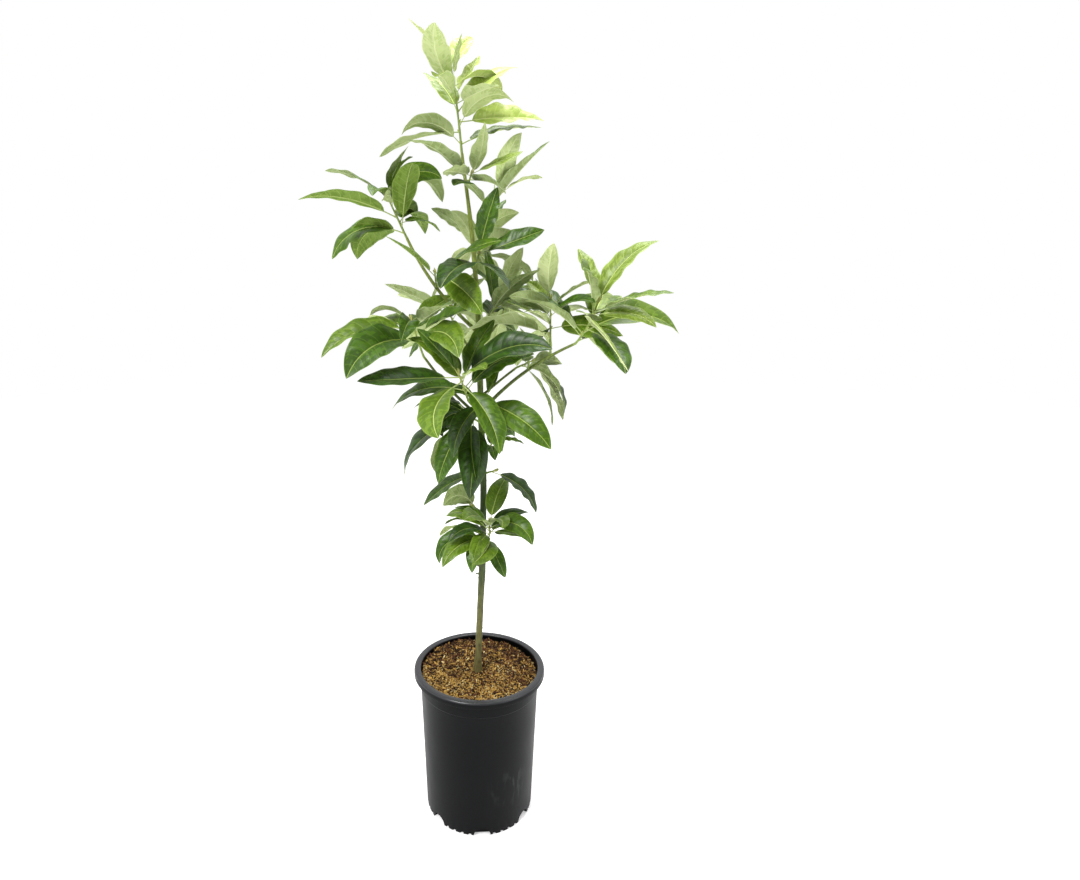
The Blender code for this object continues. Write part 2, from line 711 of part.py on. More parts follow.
def add_tree(collection):
    bark = principled(*BARK)
    foliage = principled(*FOLIAGE)
    trunk = smooth_path(TRUNK_POINTS)
    trunk[0, 2] += CLEAR
    paths = {"trunk": trunk}
    radii = {"trunk": [trunk_radius(point[2], share) for point, share in zip(trunk, shares(trunk))]}
    for name, limb in BOUGHS.items():
        paths[name] = limb_path(limb, BOUGH_STEPS, paths, radii)
        radii[name] = [stem_radius(limb, share) for share in shares(paths[name])]
    standing = []
    for name, path in paths.items():
        limb_object = add_limb(name, path, radii[name], collection, bark)
        standing.append(mesh_tree(evaluated_mesh(limb_object)))
    stems = {}
    for name, (limb, _) in SHOOTS.items():
        path = limb_path(limb, STEM_STEPS, paths, radii)
        stem_radii = [stem_radius(limb, share) for share in shares(path)]
        stems[name] = (path, mesh_from_curve(tube_curve(name, path, stem_radii, 0)))
    stem_trees = {name: mesh_tree(mesh) for name, (_, mesh) in stems.items()}
    for name, (_, leaves) in SHOOTS.items():
        path, stem_mesh = stems[name]
        others = standing + [tree for other, tree in stem_trees.items() if other != name]
        plans = leaves_that_fit(path, leaves, stem_trees[name], others)
        mass = joined(name, stem_mesh, plans, collection, foliage)
        standing.append(mesh_tree(mass.data))


def build():
    clear_scene()
    parts = new_collection("avocado tree in a pot")
    cutters = new_collection("cutters")
    add_pot(parts, cutters)
    add_soil(parts)
    add_tree(parts)


build()
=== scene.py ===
# Looks of a young avocado tree in a black nursery pot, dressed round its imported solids.
# Metres, +Z up, the pot's underside on z = 0 and the plant's front along -Y. Angles are in degrees.
import json
import math
import random
from typing import NamedTuple

import bmesh
import bpy
import numpy as np
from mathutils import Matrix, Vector, noise
from mathutils.kdtree import KDTree

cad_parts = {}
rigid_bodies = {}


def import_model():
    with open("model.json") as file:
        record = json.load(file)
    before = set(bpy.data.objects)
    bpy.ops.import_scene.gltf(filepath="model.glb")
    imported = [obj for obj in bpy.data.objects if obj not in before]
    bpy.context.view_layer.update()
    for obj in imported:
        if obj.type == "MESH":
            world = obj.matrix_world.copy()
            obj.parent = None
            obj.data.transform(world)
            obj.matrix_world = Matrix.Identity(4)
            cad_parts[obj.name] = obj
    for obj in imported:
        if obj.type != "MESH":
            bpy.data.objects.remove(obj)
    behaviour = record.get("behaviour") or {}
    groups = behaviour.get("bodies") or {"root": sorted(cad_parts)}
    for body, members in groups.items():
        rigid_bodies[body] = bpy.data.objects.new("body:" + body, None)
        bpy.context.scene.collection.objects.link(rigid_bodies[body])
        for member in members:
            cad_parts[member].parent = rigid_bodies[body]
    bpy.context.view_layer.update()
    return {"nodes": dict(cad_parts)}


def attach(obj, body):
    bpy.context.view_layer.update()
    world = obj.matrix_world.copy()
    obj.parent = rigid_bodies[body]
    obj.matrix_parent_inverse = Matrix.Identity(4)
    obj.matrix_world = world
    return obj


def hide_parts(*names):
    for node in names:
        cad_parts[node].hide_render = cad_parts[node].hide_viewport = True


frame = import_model()

# Camera, fitted to the ellipses of the pot's rim and foot
IMAGE_WIDTH = 1080
FOCAL_PIXELS = 636.92
AXIS_PIXEL = 479.3
SENSOR = 36.0
CAMERA_PLACE = (0.0, -1.0636, 0.93406)
CAMERA_PITCH = 12.2296

# Gap between neighbouring solids of the frame
CLEAR = 0.0003

# Pot
POT_HEIGHT = 0.280
RIM_RADIUS = 0.120
LIP_HEIGHT = 0.0117
WALL = 0.0018
BAND_RADIUS = 0.1090
BAND_HEIGHT = 0.024
BAND_STEP = 0.0012
FOOT_RADIUS = 0.0997
FLOOR = 0.003
FOOT_RING_WIDTH = 0.012
FOOT_RING_HEIGHT = 0.008
FOOT_CHAMFER = 0.001
INSIDE_ROUND = 0.0008
LIP_ROUND = 0.0030
OUTSIDE_ROUND = 0.0007
POT_SIDES = 252
POT_CREASE = 32.0

# Drain arches and the small teeth between them, round the pot's foot
ARCHES = 7
ARCH_RADIUS = 0.015
ARCH_DEPTH = 0.009
ARCH_AZIMUTH = -87.0
ARCH_SIDES = 48
PITCHES_PER_ARCH = 6
TOOTH_GAP = 0.006
TOOTH_HEIGHT = 0.0055
TOOTH_DEPTH = 0.004
TOOTH_ROUND = 0.0012

# Pale scuffs on the pot's side, and the band at its top that is glossier and whose colour is painted lighter
# grey as a painted highlight
SCUFF_PLACE = (0.055, -0.088, 0.092)
SCUFF_FADE = (0.050, 0.006)
TOP_GLOSS_AND_PAINTED_HIGHLIGHT_FADE = (POT_HEIGHT - 0.005, POT_HEIGHT - 0.001)

# Potting mix
SOIL_LEVEL = 0.2675
SOIL_TILT = 0.035
SOIL_BACK_RISE = 0.035
SOIL_BUMPS = 0.0035
SOIL_BUMP_SIZE = 0.022
SOIL_FLAT_RADIUS = 0.013
SOIL_RINGS = 70
SOIL_SIDES = 200
SOIL_ROUGHNESS = 0.0016
SOIL_SINK = 0.0016
SOIL_CREASE = 180.0
CRUMB_SIZE = 0.004
FINE_CRUMB_SIZE = 0.0018
FINE_CRUMB_SHARE = 0.6
BED_DEPTH = 0.012
BED_TAPER = 0.985

# Chips of bark and coir in the potting mix: share, tone, and the least and greatest length
CHIPS = {
    "golden": (0.22, (180, 142, 72), (0.0024, 0.0100)),
    "tan": (0.20, (130, 98, 52), (0.0024, 0.0095)),
    "pale": (0.07, (218, 196, 140), (0.0020, 0.0080)),
    "red brown": (0.26, (84, 50, 28), (0.0026, 0.0110)),
    "dark": (0.26, (38, 25, 16), (0.0026, 0.0090)),
}
CHIP_SEED = 77
CHIP_COUNT = 7600
CHIP_EDGE = 0.1050
CHIP_SMALLNESS = 2.6
CHIP_WIDTH = (0.16, 0.52)
CHIP_THICKNESS = (0.0005, 0.0016)
CHIP_TILT = 24.0
CHIP_LIFT = (-0.0008, 0.0010)
CHIP_CREASE = 20.0
GOLD_PATCH_SIZE = 0.03

# Trunk: points on its centreline, and its taper from the soil to its tip
TRUNK_POINTS = (
    (-0.003, 0.000, SOIL_LEVEL),
    (0.002, 0.000, 0.400),
    (0.006, 0.002, 0.500),
    (0.007, 0.003, 0.650),
    (0.003, 0.002, 0.740),
    (-0.002, 0.000, 0.910),
    (-0.012, 0.000, 1.040),
    (-0.027, 0.000, 1.160),
)
TRUNK_FOOT_RADIUS = 0.0059
TRUNK_TIP_RADIUS = 0.0023
TRUNK_TAPER = 2.6
FLARE_RADIUS = 0.0030
FLARE_HEIGHT = 0.010
GRAFT_HEIGHT = 0.460
GRAFT_RADIUS = 0.0011
GRAFT_LENGTH = 0.012

# Bark: its rings, its relief, and the collar round each bough's foot
BARK_SEED = 5
BARK_STEP = 0.0022
BARK_CREASE = 55.0
TRUNK_SIDES = 30
BOUGH_SIDES = 18
TRUNK_RELIEF = 0.00042
BOUGH_RELIEF = 0.00020
COLLAR = 0.30
COLLAR_START = 0.003
COLLAR_REACH = 0.007
ROOTING = 0.002

# Leaf scars on the bark: their spacing, their size as a share of the limb's radius, and each one's rings
SCAR_SPACING = 0.021
SCAR_END = 0.01
SCAR_SIZES = (0.30, 0.42)
SCAR_SIDES = 12
SCAR_RINGS = ((1.0, -0.25), (0.75, 0.16), (0.4, 0.24))
SCAR_TOP = 0.10
SCAR_FLATNESS = 0.62

# Short side stubs on the trunk: height, azimuth, rise and length
STUBS = ((0.470, 178.0, 24.0, 0.021), (0.458, 170.0, -4.0, 0.011), (0.512, 20.0, 30.0, 0.007))
STUB_RADII = (0.0017, 0.0011)
STUB_SWEEP = 20
STUB_LIFT = 15
STUB_STEPS = 8

# Boughs and shoot stems
BOUGH_STEPS = 10
STEM_STEPS = 6
STEM_FOOT_RADIUS = 0.0019
STEM_TIP_RADIUS = 0.0011
TIP_RUN = 0.004
SHORTEST_STEP = 0.01
FOOT_REACH = 0.06
FOOT_SAMPLES = 61
FOOT_SEARCH = 0.020
FOOT_HALVINGS = 12

# Leaves along a stem: the spiral, how they crowd towards the tip, and how far chance moves each one
LEAF_START = 0.35
SPIRAL = 137.5
CROWDING = 0.85
BEARING_SCATTER = 32.0
SPREAD_SCATTER = 18.0
SPREAD_LIMITS = (5.0, 130.0)
DROOP_SCATTER = 20.0
SIZE_SCATTER = 0.18
SIZE_LIMITS = (0.6, 1.4)
ROLL_SCATTER = 20.0
BEND_SCATTER = 22.0
LEAF_TURNS = (0, 14, -14, 28, -28, 42, -42, 60, -60)
LEVEL_STEM = 0.7

# Each leaf: the way its upper face turns, its arch, and its blade
FACE_ALONG = 0.5
FACE_UP = 0.8
ARCH_POWER = 0.8
DROOP_ROOM = 4.0
LEAF_STEPS = 8
PETIOLE_SHARE = 0.15
BLADE_WIDTH = 0.44
BLADE_FOLD = 36.0
BLADE_BASE_POWER = 0.62
BLADE_TIP_POWER = 0.85

UP = np.array((0.0, 0.0, 1.0))
ACROSS = np.array((1.0, 0.0, 0.0))


class Limb(NamedTuple):
    """A stem that leaves its parent at a share of the parent's length, on a heading that may turn."""
    parent: str
    at: float
    azimuth: float
    sweep: float
    rise: float
    rise_end: float
    length: float
    foot_radius: float = STEM_FOOT_RADIUS
    tip_radius: float = STEM_TIP_RADIUS


class Habit(NamedTuple):
    """How leaves stand: their angle off the stem and how far they arch over, at its foot and at its tip."""
    spread: tuple
    droop: tuple


class Leaves(NamedTuple):
    """The leaves of one shoot, from a share of its stem on, with their length at its foot and at its tip."""
    seed: int
    count: int
    habit: Habit
    length: tuple
    first: float = LEAF_START


# Leaf habits, from the tree's top to its foot
YOUNG = Habit((90, 25), (35, 5))
UPRIGHT = Habit((60, 35), (30, 15))
SPREADING = Habit((85, 45), (50, 30))
ARCHING = Habit((70, 40), (80, 50))
HANGING = Habit((80, 50), (95, 75))

# Each bough: its parent and the share of the parent's length where it leaves, azimuth and the sweep of its
# azimuth, rise at the foot and at the tip, length, radius at the foot and at the tip
BOUGHS = {
    "bough_left": Limb("trunk", 0.69, 180, 0, 40, 65, 0.190, 0.0031, 0.0022),
    "bough_right": Limb("trunk", 0.54, 335, 15, 50, 25, 0.195, 0.0031, 0.0021),
    "bough_right_inner": Limb("trunk", 0.57, 15, 0, 40, 35, 0.075, 0.0022, 0.0019),
    "bough_mid_left": Limb("trunk", 0.53, 195, 0, 40, 55, 0.140, 0.0027, 0.0020),
    "bough_front_left": Limb("trunk", 0.545, 250, 0, 15, 30, 0.060, 0.0024, 0.0020),
    "bough_back_left": Limb("trunk", 0.64, 115, 0, 20, 35, 0.120, 0.0025, 0.0019),
    "bough_back_right": Limb("trunk", 0.67, 65, 0, 15, 35, 0.110, 0.0025, 0.0019),
}

# Each shoot: its stem as above, then the seed and number of its leaves, their habit, and their length at the
# foot and at the tip
SHOOTS = {
    "crown_top": (Limb("trunk", 1, 180, 0, 85, 80, 0.125),
                  Leaves(21, 10, YOUNG, (0.145, 0.060), 0.1)),
    "leader_upper": (Limb("trunk", 0.94, 290, 0, 40, 40, 0.030),
                     Leaves(25, 5, UPRIGHT, (0.110, 0.080))),
    "side_shoot": (Limb("trunk", 0.87, 355, 0, 50, 50, 0.075),
                   Leaves(30, 5, ARCHING, (0.120, 0.090), 0.5)),
    "left_tip": (Limb("bough_left", 1, 180, 0, 65, 65, 0.070),
                 Leaves(12, 10, ARCHING, (0.155, 0.085), 0.1)),
    "left_side": (Limb("bough_left", 0.5, 270, 0, 30, 30, 0.045),
                  Leaves(14, 3, UPRIGHT, (0.140, 0.120))),
    "leader_mid": (Limb("trunk", 0.80, 280, 0, 35, 35, 0.045),
                   Leaves(25, 6, UPRIGHT, (0.110, 0.100))),
    "right_upper": (Limb("trunk", 0.70, 20, 0, 45, 45, 0.050),
                    Leaves(16, 7, UPRIGHT, (0.110, 0.090))),
    "right_mid": (Limb("bough_right", 0.78, 90, 0, 80, 80, 0.090),
                  Leaves(10, 9, UPRIGHT, (0.110, 0.090))),
    "right_tip": (Limb("bough_right", 1, 340, 0, 50, 75, 0.070),
                  Leaves(24, 10, SPREADING, (0.160, 0.115), 0.1)),
    "mid_left_tip": (Limb("bough_mid_left", 1, 180, 0, 70, 75, 0.060),
                     Leaves(3, 11, SPREADING, (0.130, 0.105))),
    "left_centre": (Limb("bough_front_left", 1, 250, 0, 50, 50, 0.060),
                    Leaves(21, 12, SPREADING, (0.130, 0.110))),
    "centre_front": (Limb("trunk", 0.55, 275, 0, 20, 20, 0.070),
                     Leaves(5, 6, SPREADING, (0.130, 0.105), 0.5)),
    "whorl": (Limb("trunk", 0.52, 240, 0, 25, 25, 0.045),
              Leaves(25, 7, HANGING, (0.125, 0.105), 0.5)),
    "right_droop": (Limb("bough_right_inner", 1, 20, 0, 20, 20, 0.030),
                    Leaves(23, 5, HANGING, (0.120, 0.100))),
    "right_inner": (Limb("bough_right", 0.55, 270, 0, 80, 80, 0.040),
                    Leaves(8, 6, UPRIGHT, (0.065, 0.050))),
    "small_right": (Limb("trunk", 0.45, 340, 0, 60, 60, 0.035),
                    Leaves(11, 5, ARCHING, (0.070, 0.055))),
    "lower_shoot": (Limb("trunk", 0.27, 290, 0, 20, 95, 0.070),
                    Leaves(5, 13, ARCHING, (0.110, 0.085))),
    "leaf_left": (Limb("trunk", 0.41, 210, 0, 20, 20, 0.020),
                  Leaves(8, 1, SPREADING, (0.130, 0.130), 0.6)),
    "leaf_right": (Limb("trunk", 0.42, 340, 0, 20, 20, 0.020),
                   Leaves(27, 1, SPREADING, (0.105, 0.105), 0.6)),
    "leaf_low": (Limb("trunk", 0.34, 160, 0, 30, 30, 0.020),
                 Leaves(19, 1, HANGING, (0.110, 0.110), 0.6)),
    "back_left": (Limb("bough_back_left", 1, 115, 0, 40, 40, 0.045),
                  Leaves(12, 11, SPREADING, (0.115, 0.095), 0.1)),
    "back_right": (Limb("bough_back_right", 1, 75, 0, 45, 45, 0.050),
                   Leaves(7, 11, SPREADING, (0.115, 0.095), 0.1)),
    "back_top": (Limb("trunk", 0.80, 90, 0, 25, 60, 0.085),
                 Leaves(9, 10, SPREADING, (0.110, 0.090))),
}

# Tones of the leaves, as red, green and blue from 0 to 255: upper side, underside, midrib above and below,
# side veins and margin above and below, and mottled patches above and below
LEAF_TONES = {
    "deep": ((32, 58, 4), (140, 156, 98), (136, 152, 76), (184, 194, 142),
             (58, 86, 18), (156, 172, 116), (44, 76, 8), (120, 136, 78)),
    "lush": ((60, 90, 6), (116, 142, 56), (160, 178, 88), (168, 186, 104),
             (88, 118, 24), (138, 162, 78), (78, 110, 14), (102, 128, 46)),
    "dark": ((50, 80, 6), (158, 174, 116), (156, 172, 92), (198, 208, 158),
             (82, 112, 28), (176, 190, 134), (66, 100, 14), (140, 156, 94)),
    "mid": ((82, 110, 18), (182, 196, 136), (184, 198, 114), (214, 222, 170),
            (118, 144, 48), (198, 210, 156), (102, 130, 32), (166, 182, 118)),
    "bright": ((112, 134, 46), (202, 214, 152), (200, 212, 132), (228, 234, 182),
               (150, 170, 84), (214, 224, 168), (134, 156, 66), (186, 202, 134)),
    "young": ((158, 178, 84), (208, 218, 150), (218, 228, 156), (230, 236, 180),
              (182, 200, 112), (218, 226, 164), (176, 192, 106), (194, 208, 134)),
}

# The tones that each shoot's leaves take in turn, from its foot to its tip
SHOOT_TONES = {
    "crown_top": ("mid", "bright", "young", "bright", "bright", "young", "bright", "mid", "young", "young"),
    "leader_upper": ("dark", "mid", "mid", "bright"),
    "side_shoot": ("dark", "mid", "bright"),
    "left_tip": ("lush", "lush", "mid", "lush", "dark"),
    "left_side": ("lush", "mid"),
    "leader_mid": ("deep", "lush", "dark"),
    "right_upper": ("deep", "lush", "dark", "mid"),
    "right_mid": ("mid", "dark", "bright"),
    "right_tip": ("dark", "mid", "bright", "mid", "bright"),
    "mid_left_tip": ("dark", "mid", "lush", "mid", "dark", "mid"),
    "left_centre": ("dark", "mid", "lush", "mid", "deep", "dark"),
    "centre_front": ("deep", "mid", "dark", "lush", "lush", "mid"),
    "whorl": ("deep", "deep", "dark", "deep", "lush", "deep", "dark"),
    "right_droop": ("deep", "dark", "mid"),
    "right_inner": ("mid", "dark", "bright"),
    "small_right": ("dark", "mid"),
    "lower_shoot": ("dark", "mid", "deep", "mid", "lush", "mid"),
    "leaf_left": ("dark",),
    "leaf_right": ("deep",),
    "leaf_low": ("deep",),
    "back_left": ("dark", "mid", "mid"),
    "back_right": ("mid", "dark", "mid"),
    "back_top": ("mid", "bright", "dark"),
}

# Young leaves between those of some shoots, grown by the same rule within the shoot's own reach, how far they
# keep off the limbs, and the share of their number that has grown
INNER_LEAVES = {
    "crown_top": Leaves(35, 7, ARCHING, (0.120, 0.070), 0.1),
    "left_tip": Leaves(33, 6, ARCHING, (0.110, 0.070), 0.1),
    "right_tip": Leaves(43, 8, SPREADING, (0.130, 0.085), 0.3),
    "right_mid": Leaves(36, 5, SPREADING, (0.100, 0.080), 0.3),
    "whorl": Leaves(34, 4, ARCHING, (0.110, 0.090), 0.5),
    "lower_shoot": Leaves(38, 10, ARCHING, (0.100, 0.070), 0.2),
}
INNER_ROOM = 0.009
INNER_END = 0.7
LIMB_SAMPLE = 0.004

# Stems, petioles and buds: a petiole's radius is a share of its leaf's length, and swells at its foot
STEM_SIDES = 12
STEM_RING = 0.003
NODE_SWELL = 0.06
PETIOLE_RADIUS = 0.0062
PETIOLE_SWELL = (1.5, 1.25, 1.05, 1.0, 1.0, 1.0, 0.95, 0.85, 0.35)
PETIOLE_OVERLAP = 0.05
PETIOLE_SIDES = 10
AXIL_BUD_LENGTH = 0.0045
AXIL_BUD_WIDTH = 0.0009
AXIL_BUD_OFFSET = 0.0012
TIP_BUDS = 3
TIP_BUD_LENGTH = (0.009, 0.017)
TIP_BUD_WIDTH = 0.0013
TIP_BUD_DEPTH = 0.002
TIP_BUD_LEAN = 0.22

# The pieces that the foliage is joined into, from the top down
LEAF_PIECES = {
    "leaves_upper": ("crown_top", "leader_upper", "side_shoot", "left_tip", "left_side", "leader_mid",
                     "back_top"),
    "leaves_middle": ("right_upper", "right_mid", "right_tip", "mid_left_tip", "back_left", "back_right"),
    "leaves_lower": ("left_centre", "centre_front", "whorl", "right_droop", "right_inner", "small_right",
                     "lower_shoot", "leaf_left", "leaf_right", "leaf_low"),
}

# Side veins of a blade, as shares of its length, and its rows of faces: at the foot, between veins, at the tip
VEIN_PAIRS = 8
FIRST_VEIN = 0.05
VEIN_SPAN = 0.80
VEIN_CROWDING = 0.95
VEINS_END = 0.94
VEIN_SLANT = 0.13
VEIN_CURVE = 1.3
VEIN_HALF_WIDTH = 0.0032
FOOT_ROWS = (0.0, 0.018)
VEIN_ROWS = (0.26, 0.5, 0.74)
TIP_ROWS = (0.965, 0.985, 1.0)

# Columns of faces from a blade's midrib to its margin, as shares of its half width
COLUMNS = (0.14, 0.30, 0.48, 0.66, 0.82, 0.93, 1.0)
LEAST_HALF_WIDTH = 0.0006
LEAF_CREASE = 60.0

# Midrib, and the blade's thickness towards its margin and its tip, as shares of the leaf's length
RIB_WIDTH = 0.0085
RIB_TAPER = 0.75
RIB_SHARE = 0.30
RIB_DEPTH = 0.0055
RIB_FADE = 0.8
RIB_GROOVE = 0.35
BLADE_THICKNESS = 0.0034
MARGIN_THINNING = 0.5
TIP_THINNING = 0.4

# Swellings between the veins, fold, curl, waves and twist of a blade, and how far chance moves each
QUILT = 0.0058
QUILT_LEAST = 0.25
QUILT_ROUNDNESS = 2.2
QUILT_SPREAD = 0.8
QUILT_SCATTER = (0.7, 1.3)
FOLD_OPENING = 0.35
FOLD_SCATTER = (-18.0, 4.0)
CURL = 0.18
CURL_POWER = 2.4
CURL_SCATTER = (-0.10, 0.16)
WAVES = 3.2
WAVES_SCATTER = (0.7, 1.3)
WAVE_HEIGHT = 0.070
WAVE_SCATTER = (0.3, 1.5)
TWIST_SCATTER = 22.0
MOTTLE_LEVEL = 0.55
BLADE_SEED = 5000

# The parts of a leaf, in the order of its tones: name, roughness and specular level
LEAF_PARTS = (("upper", 0.40, 0.34), ("underside", 0.62, 0.2), ("midrib above", 0.50, 0.3),
              ("midrib below", 0.55, 0.3), ("veins above", 0.44, 0.32), ("veins below", 0.60, 0.2),
              ("patches above", 0.36, 0.34), ("patches below", 0.66, 0.2))

# The parts of a twig, in the order of their slots: name, tone and roughness
TWIG_PARTS = (("twig green", (128, 148, 70), 0.5), ("twig pale", (168, 184, 112), 0.5),
              ("bud", (176, 178, 104), 0.6))
STEM_SLOT, PETIOLE_SLOT, BUD_SLOT = range(len(TWIG_PARTS))

# Lamps: place, the point that each looks at, size, and power in watts
LAMPS = {
    "key": ((-1.3, -1.6, 2.6), (0.0, 0.0, 0.8), 1.0, 68.0),
    "top": ((0.3, 0.3, 3.0), (0.0, 0.0, 0.6), 1.4, 50.0),
    "fill": ((1.8, -1.2, 1.3), (0.0, 0.0, 0.7), 1.4, 12.0),
}

# The white surround, dimmer in front of the plant, and the floor under it
SURROUND_IN_FRONT = 0.12
SURROUND_BEHIND = 0.90
SURROUND_TURN = (-1.0, 0.1)
FLOOR_SIZE = 7.0
FLOOR_GLOW = 0.35


def unit(vector):
    return vector / np.linalg.norm(vector)


def heading(azimuth, rise):
    a, r = math.radians(azimuth), math.radians(rise)
    return np.array((math.cos(a) * math.cos(r), math.sin(a) * math.cos(r), math.sin(r)))


def between(ends, share):
    return ends[0] + (ends[1] - ends[0]) * share


def limited(value, limits):
    return min(limits[1], max(limits[0], value))


def turned_vector(vector, axis, degrees):
    a = math.radians(degrees)
    along = axis * float(axis @ vector) * (1.0 - math.cos(a))
    return vector * math.cos(a) + np.cross(axis, vector) * math.sin(a) + along


def smooth_path(points, per_stretch=4):
    """A Catmull-Rom curve through points."""
    p = np.array(points)
    p = np.vstack((2 * p[0] - p[1], p, 2 * p[-1] - p[-2]))
    path = []
    for i in range(1, len(p) - 2):
        for t in np.arange(per_stretch) / per_stretch:
            bend = (2 * p[i - 1] - 5 * p[i] + 4 * p[i + 1] - p[i + 2]) * t ** 2
            twist = (3 * p[i] - p[i - 1] - 3 * p[i + 1] + p[i + 2]) * t ** 3
            path.append(0.5 * (2 * p[i] + (p[i + 1] - p[i - 1]) * t + bend + twist))
    path.append(p[-2])
    return np.array(path)


def grown_path(start, limb, steps):
    """The centreline of a limb: equal steps along a heading that turns evenly from foot to tip."""
    path = [start]
    for i in range(steps):
        share = (i + 0.5) / steps
        ahead = heading(limb.azimuth + limb.sweep * share, limb.rise + (limb.rise_end - limb.rise) * share)
        path.append(path[-1] + ahead * limb.length / steps)
    return np.array(path)


def path_length(path):
    return float(np.linalg.norm(np.diff(path, axis=0), axis=1).sum())


def shares(path):
    lengths = np.linalg.norm(np.diff(path, axis=0), axis=1)
    run = np.concatenate(((0.0,), np.cumsum(lengths)))
    return run / run[-1]


def point_on(path, share):
    """The point at a share of a path's length, and the path's direction there."""
    run = shares(path)
    point = np.array([np.interp(share, run, path[:, i]) for i in range(3)])
    step = min(int(np.searchsorted(run, share, side="right")) - 1, len(path) - 2)
    return point, unit(path[step + 1] - path[step])


def cut_start(path, distance):
    """The path without its first stretch."""
    length = path_length(path)
    start, _ = point_on(path, distance / length)
    kept = path[shares(path) > distance / length + SHORTEST_STEP]
    return np.vstack((start, kept))


def trunk_radius(height, share):
    flare = FLARE_RADIUS * math.exp(-(height - SOIL_LEVEL) / FLARE_HEIGHT)
    graft = GRAFT_RADIUS * math.exp(-((height - GRAFT_HEIGHT) / GRAFT_LENGTH) ** 2)
    taper = TRUNK_TIP_RADIUS + (TRUNK_FOOT_RADIUS - TRUNK_TIP_RADIUS) * (1.0 - share ** TRUNK_TAPER)
    return taper + flare + graft


def foot_gap(path, distance, limb, parent, parent_radii):
    """How far the nearest edge of a limb's flat foot would stand off its parent, were it cut there."""
    centre, ahead = point_on(path, distance / path_length(path))
    run = np.linspace(limb.at, min(1.0, limb.at + FOOT_REACH), FOOT_SAMPLES)
    axis = np.array([point_on(parent, share)[0] for share in run])
    away = np.linalg.norm(axis - centre, axis=1)
    near = int(np.argmin(away))
    slant = abs(float(ahead @ point_on(parent, run[near])[1]))
    parent_radius = float(np.interp(run[near], shares(parent), parent_radii))
    return away[near] - parent_radius - limb.foot_radius * slant


def limb_path(limb, steps, paths, radii):
    """Where a limb runs, a gap clear of its parent: in line with the parent's tip, or out of its side."""
    parent = paths[limb.parent]
    start, along = point_on(parent, limb.at)
    if limb.at >= 1.0:
        run_in = start + along * (CLEAR + TIP_RUN)
        return np.vstack((start + along * CLEAR, grown_path(run_in, limb, steps)))
    path = grown_path(start, limb, steps)
    inside, outside = 0.0, FOOT_SEARCH
    for _ in range(FOOT_HALVINGS):
        middle = 0.5 * (inside + outside)
        if foot_gap(path, middle, limb, parent, radii[limb.parent]) < CLEAR:
            inside = middle
        else:
            outside = middle
    return cut_start(path, outside)


def leaf_plans(path, leaves):
    """Foot, direction, upper face, length, droop and bend of each leaf of a shoot, for each turn tried."""
    chance = random.Random(leaves.seed)
    start = chance.uniform(0.0, 360.0)
    first_step = unit(path[1] - path[0])
    reference = ACROSS if abs(first_step[0]) < LEVEL_STEM else UP
    for number in range(leaves.count):
        young = number / max(leaves.count - 1, 1)
        foot, along = point_on(path, leaves.first + (1.0 - leaves.first) * young ** CROWDING)
        side = unit(reference - float(reference @ along) * along)
        scatter = [chance.gauss(0.0, 1.0) for _ in range(6)]
        spread = between(leaves.habit.spread, young) + SPREAD_SCATTER * scatter[1]
        droop = between(leaves.habit.droop, young) + DROOP_SCATTER * scatter[2]
        length = between(leaves.length, young) * limited(1.0 + SIZE_SCATTER * scatter[3], SIZE_LIMITS)
        tries = []
        for turn in LEAF_TURNS:
            bearing = start + number * SPIRAL + BEARING_SCATTER * scatter[0] + turn
            outward = turned_vector(side, along, bearing)
            angle = math.radians(limited(spread, SPREAD_LIMITS))
            direction = unit(along * math.cos(angle) + outward * math.sin(angle))
            face = along * FACE_ALONG + UP * FACE_UP
            face = unit(face - float(face @ direction) * direction)
            face = turned_vector(face, direction, ROLL_SCATTER * scatter[4])
            tries.append((foot, direction, face, length, max(0.0, droop), BEND_SCATTER * scatter[5]))
        yield tries


def midrib(foot, direction, face, length, droop, bend):
    """The leaf's centreline, which arches over towards the ground and bends sideways, with its faces."""
    axis = np.cross(direction, -UP)
    axis = unit(axis) if np.linalg.norm(axis) > 1e-6 else ACROSS
    room = math.degrees(math.acos(limited(float(direction @ -UP), (-1.0, 1.0))))
    total = max(0.0, min(droop, room - DROOP_ROOM))
    points, directions, faces = [foot], [direction], [face]
    for i in range(LEAF_STEPS):
        arch = total * (1.0 + ARCH_POWER) * ((i + 0.5) / LEAF_STEPS) ** ARCH_POWER / LEAF_STEPS
        direction = turned_vector(direction, axis, arch)
        face = turned_vector(face, axis, arch)
        direction = turned_vector(direction, face, bend / LEAF_STEPS)
        points.append(points[-1] + direction * length / LEAF_STEPS)
        directions.append(direction)
        faces.append(face)
    return np.array(points), np.array(directions), np.array(faces)


def add_object(name, data):
    piece = bpy.data.objects.new(name, data)
    bpy.context.scene.collection.objects.link(piece)
    return piece


def add_mesh(name, vertices, faces, materials, slots=None, crease=BARK_CREASE):
    """A mesh object from arrays of vertices, faces and each face's material slot."""
    mesh = bpy.data.meshes.new(name)
    mesh.from_pydata([tuple(v) for v in vertices], [], [tuple(f) for f in faces])
    for material in materials:
        mesh.materials.append(material)
    if slots is not None:
        mesh.polygons.foreach_set("material_index", np.asarray(slots, dtype=np.int32))
    mesh.shade_smooth()
    mesh.set_sharp_from_angle(angle=math.radians(crease))
    mesh.update()
    return add_object(name, mesh)


